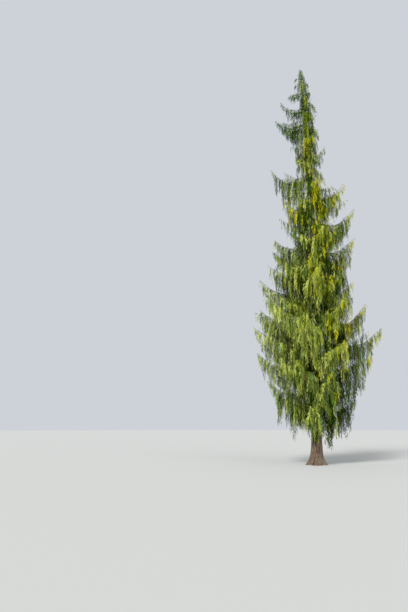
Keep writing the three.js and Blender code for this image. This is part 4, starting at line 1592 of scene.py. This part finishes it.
class CYPRESS_OT_boughs(bpy.types.Operator):
    """Grow the boughs, each from inside the trunk to its tip"""

    bl_idname = "cypress.boughs"
    bl_label = "Grow the boughs"

    def execute(self, context):
        boughs, _ = grown_tree()
        parts = self.limbs(boughs, **BOUGH_MESH)
        parts += self.limbs(lesser_boughs(context.scene.cypress_sizes), **LESSER_MESH)
        colours = context.scene.cypress_bark
        bark = bark_material("bough_bark", colours.bough, colours.bough_furrow, **BOUGH_BARK)
        nodes = [name for name in frame["nodes"] if name.startswith("bough_")]
        finished(joined_mesh("bough_bark", parts, [bark]), "bark", *nodes)
        return {"FINISHED"}

    def limbs(self, boughs, rings, sides, thickness):
        """Knotty tapering tubes along the boughs."""
        shares = np.linspace(0, 1, rings) ** RING_CROWDING
        lines = np.array([knotty_line(bough, shares) for bough in boughs])
        radii = np.array([bough_radius(bough, shares) for bough in boughs])
        knots = np.array([[noise.noise(Vector(point) * KNOT_RATE) for point in line] for line in lines])
        radii = radii * thickness * (1 - BOUGH_NARROWS * shares) * (1 + KNOT_SWELL * knots)
        return tubes(lines, radii, UP, sides)


# The mesh of the twigs: rings, sides, how far they arch, how thick they start and by how much they narrow
TWIG_RINGS = 6
TWIG_SIDES = 6
TWIG_ARCH = 0.03
TWIG_THICKNESS = 0.8
TWIG_NARROWS = 0.45
# That of the leader, which starts inside the trunk, and its radius along it
LEADER_RINGS = 24
LEADER_SIDES = 8
LEADER_IN_TRUNK = 0.05
LEADER_SHARES = (0, 0.12, 1)
LEADER_RADII = (0.024, 0.012, 0.003)
# The woody strings: how long a strand is at least to have one, where its rings are, and its thickness
STRING_LEAST = 0.5
STRING_SIDES = 3
STRING_SHARES = np.array([0, 0.25, 1.0])
STRING_THICKNESS = 1.15
STRING_NARROWS = 0.75


class CYPRESS_OT_twigs(bpy.types.Operator):
    """Grow the side twigs, the leader's stem and the woody strings of the strands"""

    bl_idname = "cypress.twigs"
    bl_label = "Grow the twigs"

    def execute(self, context):
        parts = self.twigs() + self.leader() + self.strings(context.scene.cypress_sizes.rachis_radius)
        colours = context.scene.cypress_bark
        bark = bark_material("twig_bark", colours.bough, colours.bough_furrow, **TWIG_BARK)
        piece = joined_mesh("twigs", parts, [bark])
        finished(piece, "bark")
        return {"FINISHED"}

    def twigs(self):
        steps = np.linspace(0, 1, TWIG_RINGS)
        _, masses = grown_tree()
        starts, ends, thick = zip(*(twig for mass in masses for twig in mass.twigs), strict=True)
        starts = np.array(starts)[:, None]
        lines = starts + (np.array(ends)[:, None] - starts) * steps[:, None]
        lines = lines + UP * (TWIG_ARCH * np.sin(np.pi * steps))[:, None]
        radii = np.array(thick)[:, None] * (TWIG_THICKNESS - TWIG_NARROWS * steps)
        return tubes(lines, radii, UP, TWIG_SIDES)

    def leader(self):
        shares = np.linspace(0, 1, LEADER_RINGS)
        line = leader_line(shares)
        line[0] = trunk_centre(TRUNK_TOP - LEADER_IN_TRUNK)
        radii = np.interp(shares, LEADER_SHARES, LEADER_RADII)
        return tubes(line[None], radii[None], heading(0), LEADER_SIDES)

    def strings(self, radius):
        strands = all_strands()
        picked = np.flatnonzero(strands["drop"] > STRING_LEAST)
        lines = np.stack([strand_points(strands, picked, share) for share in STRING_SHARES], axis=1)
        slim = radius * (STRING_THICKNESS - STRING_NARROWS * STRING_SHARES)
        return tubes(lines, np.tile(slim, (len(picked), 1)), string_sides(lines), STRING_SIDES)


def string_sides(strings):
    """A direction for each string that is never along it: level, and square to the way it leans."""
    lean = strings[:, -1] - strings[:, 0]
    level = np.stack([-lean[:, 1], lean[:, 0], np.zeros(len(lean))], axis=-1)
    return level[:, None]


# The most faces that one piece of sprays may have
MOST_FACES = 190000
# Below the spire, sprays nearer the trunk than this share of the crown have fewer and larger sprigs: teeth
# a side, and size
SPIRE_START = 10.4
INNER_SHARE = 0.5
INNER_SPRIGS = (3, 1.4)
OUTER_SPRIGS = (4, 1.0)


class SprayGroup:
    """The sprays that become one piece, and the nodes that they stand for."""

    def __init__(self, slot):
        self.slot = slot
        self.parts = []
        self.nodes = []
        self.faces = 0


class CYPRESS_OT_sprays(bpy.types.Operator):
    """Grow the hanging sprays, joined into a few pieces from the ground up"""

    bl_idname = "cypress.sprays"
    bl_label = "Grow the sprays"

    def execute(self, context):
        sizes = context.scene.cypress_sizes
        strands = all_strands()
        middles = strand_points(strands, np.arange(len(strands["drop"])), 0.5)
        outer = (crown_share(middles) > INNER_SHARE) | (middles[:, 2] > SPIRE_START)
        materials = tint_materials()
        slots = {row["node"]: row["material_slot"] for row in frame["record"]["subparts"]}
        nodes = [*(f"foliage_{i + 1:02d}" for i in range(len(BOUGHS))), "leader"]
        groups = []
        for owner, name in enumerate(nodes, 1):
            chance = np.random.default_rng(SPRIG_SEED + owner)
            own = strands["owner"] == owner
            grown = [
                strand_sprigs(strands, np.flatnonzero(own & ~outer), *INNER_SPRIGS, sizes, chance),
                strand_sprigs(strands, np.flatnonzero(own & outer), *OUTER_SPRIGS, sizes, chance),
            ]
            faces = sum(len(part.faces) for part in grown)
            group = groups[-1] if groups else None
            if group is None or group.slot != slots[name] or group.faces + faces > MOST_FACES:
                group = SprayGroup(slots[name])
                groups.append(group)
            group.parts.extend(grown)
            group.nodes.append(name)
            group.faces += faces
        for number, group in enumerate(groups, 1):
            piece = joined_mesh(f"hanging_sprays_{number}", group.parts, materials)
            finished(piece, group.slot, *group.nodes)
        return {"FINISHED"}


STEPS = (
    CYPRESS_OT_camera,
    CYPRESS_OT_trunk,
    CYPRESS_OT_boughs,
    CYPRESS_OT_twigs,
    CYPRESS_OT_sprays,
    CYPRESS_OT_stage,
)
SETTINGS = {
    "cypress_sizes": CypressSizes,
    "cypress_colours": CypressColours,
    "cypress_bark": BarkColours,
    "cypress_stage": StageSettings,
}


class CYPRESS_PT_panel(bpy.types.Panel):
    """Lists the steps that grow the tree"""

    bl_label = "Weeping Nootka Cypress"
    bl_idname = "CYPRESS_PT_panel"
    bl_space_type = "VIEW_3D"
    bl_region_type = "UI"
    bl_category = "Cypress"

    def draw(self, context):
        for step in STEPS:
            self.layout.operator(step.bl_idname)
        for name, group in SETTINGS.items():
            box = self.layout.box()
            for field in group.__annotations__:
                box.prop(getattr(context.scene, name), field)


def register():
    for group in (*SETTINGS.values(), *STEPS, CYPRESS_PT_panel):
        bpy.utils.register_class(group)
    for name, group in SETTINGS.items():
        setattr(bpy.types.Scene, name, PointerProperty(type=group))


def unregister():
    for name in SETTINGS:
        delattr(bpy.types.Scene, name)
    for group in reversed((*SETTINGS.values(), *STEPS, CYPRESS_PT_panel)):
        bpy.utils.unregister_class(group)


def main():
    register()
    bpy.ops.cypress.camera()
    bpy.ops.cypress.trunk()
    bpy.ops.cypress.boughs()
    bpy.ops.cypress.twigs()
    bpy.ops.cypress.sprays()
    bpy.ops.cypress.stage()


if __name__ == "__main__":
    main()
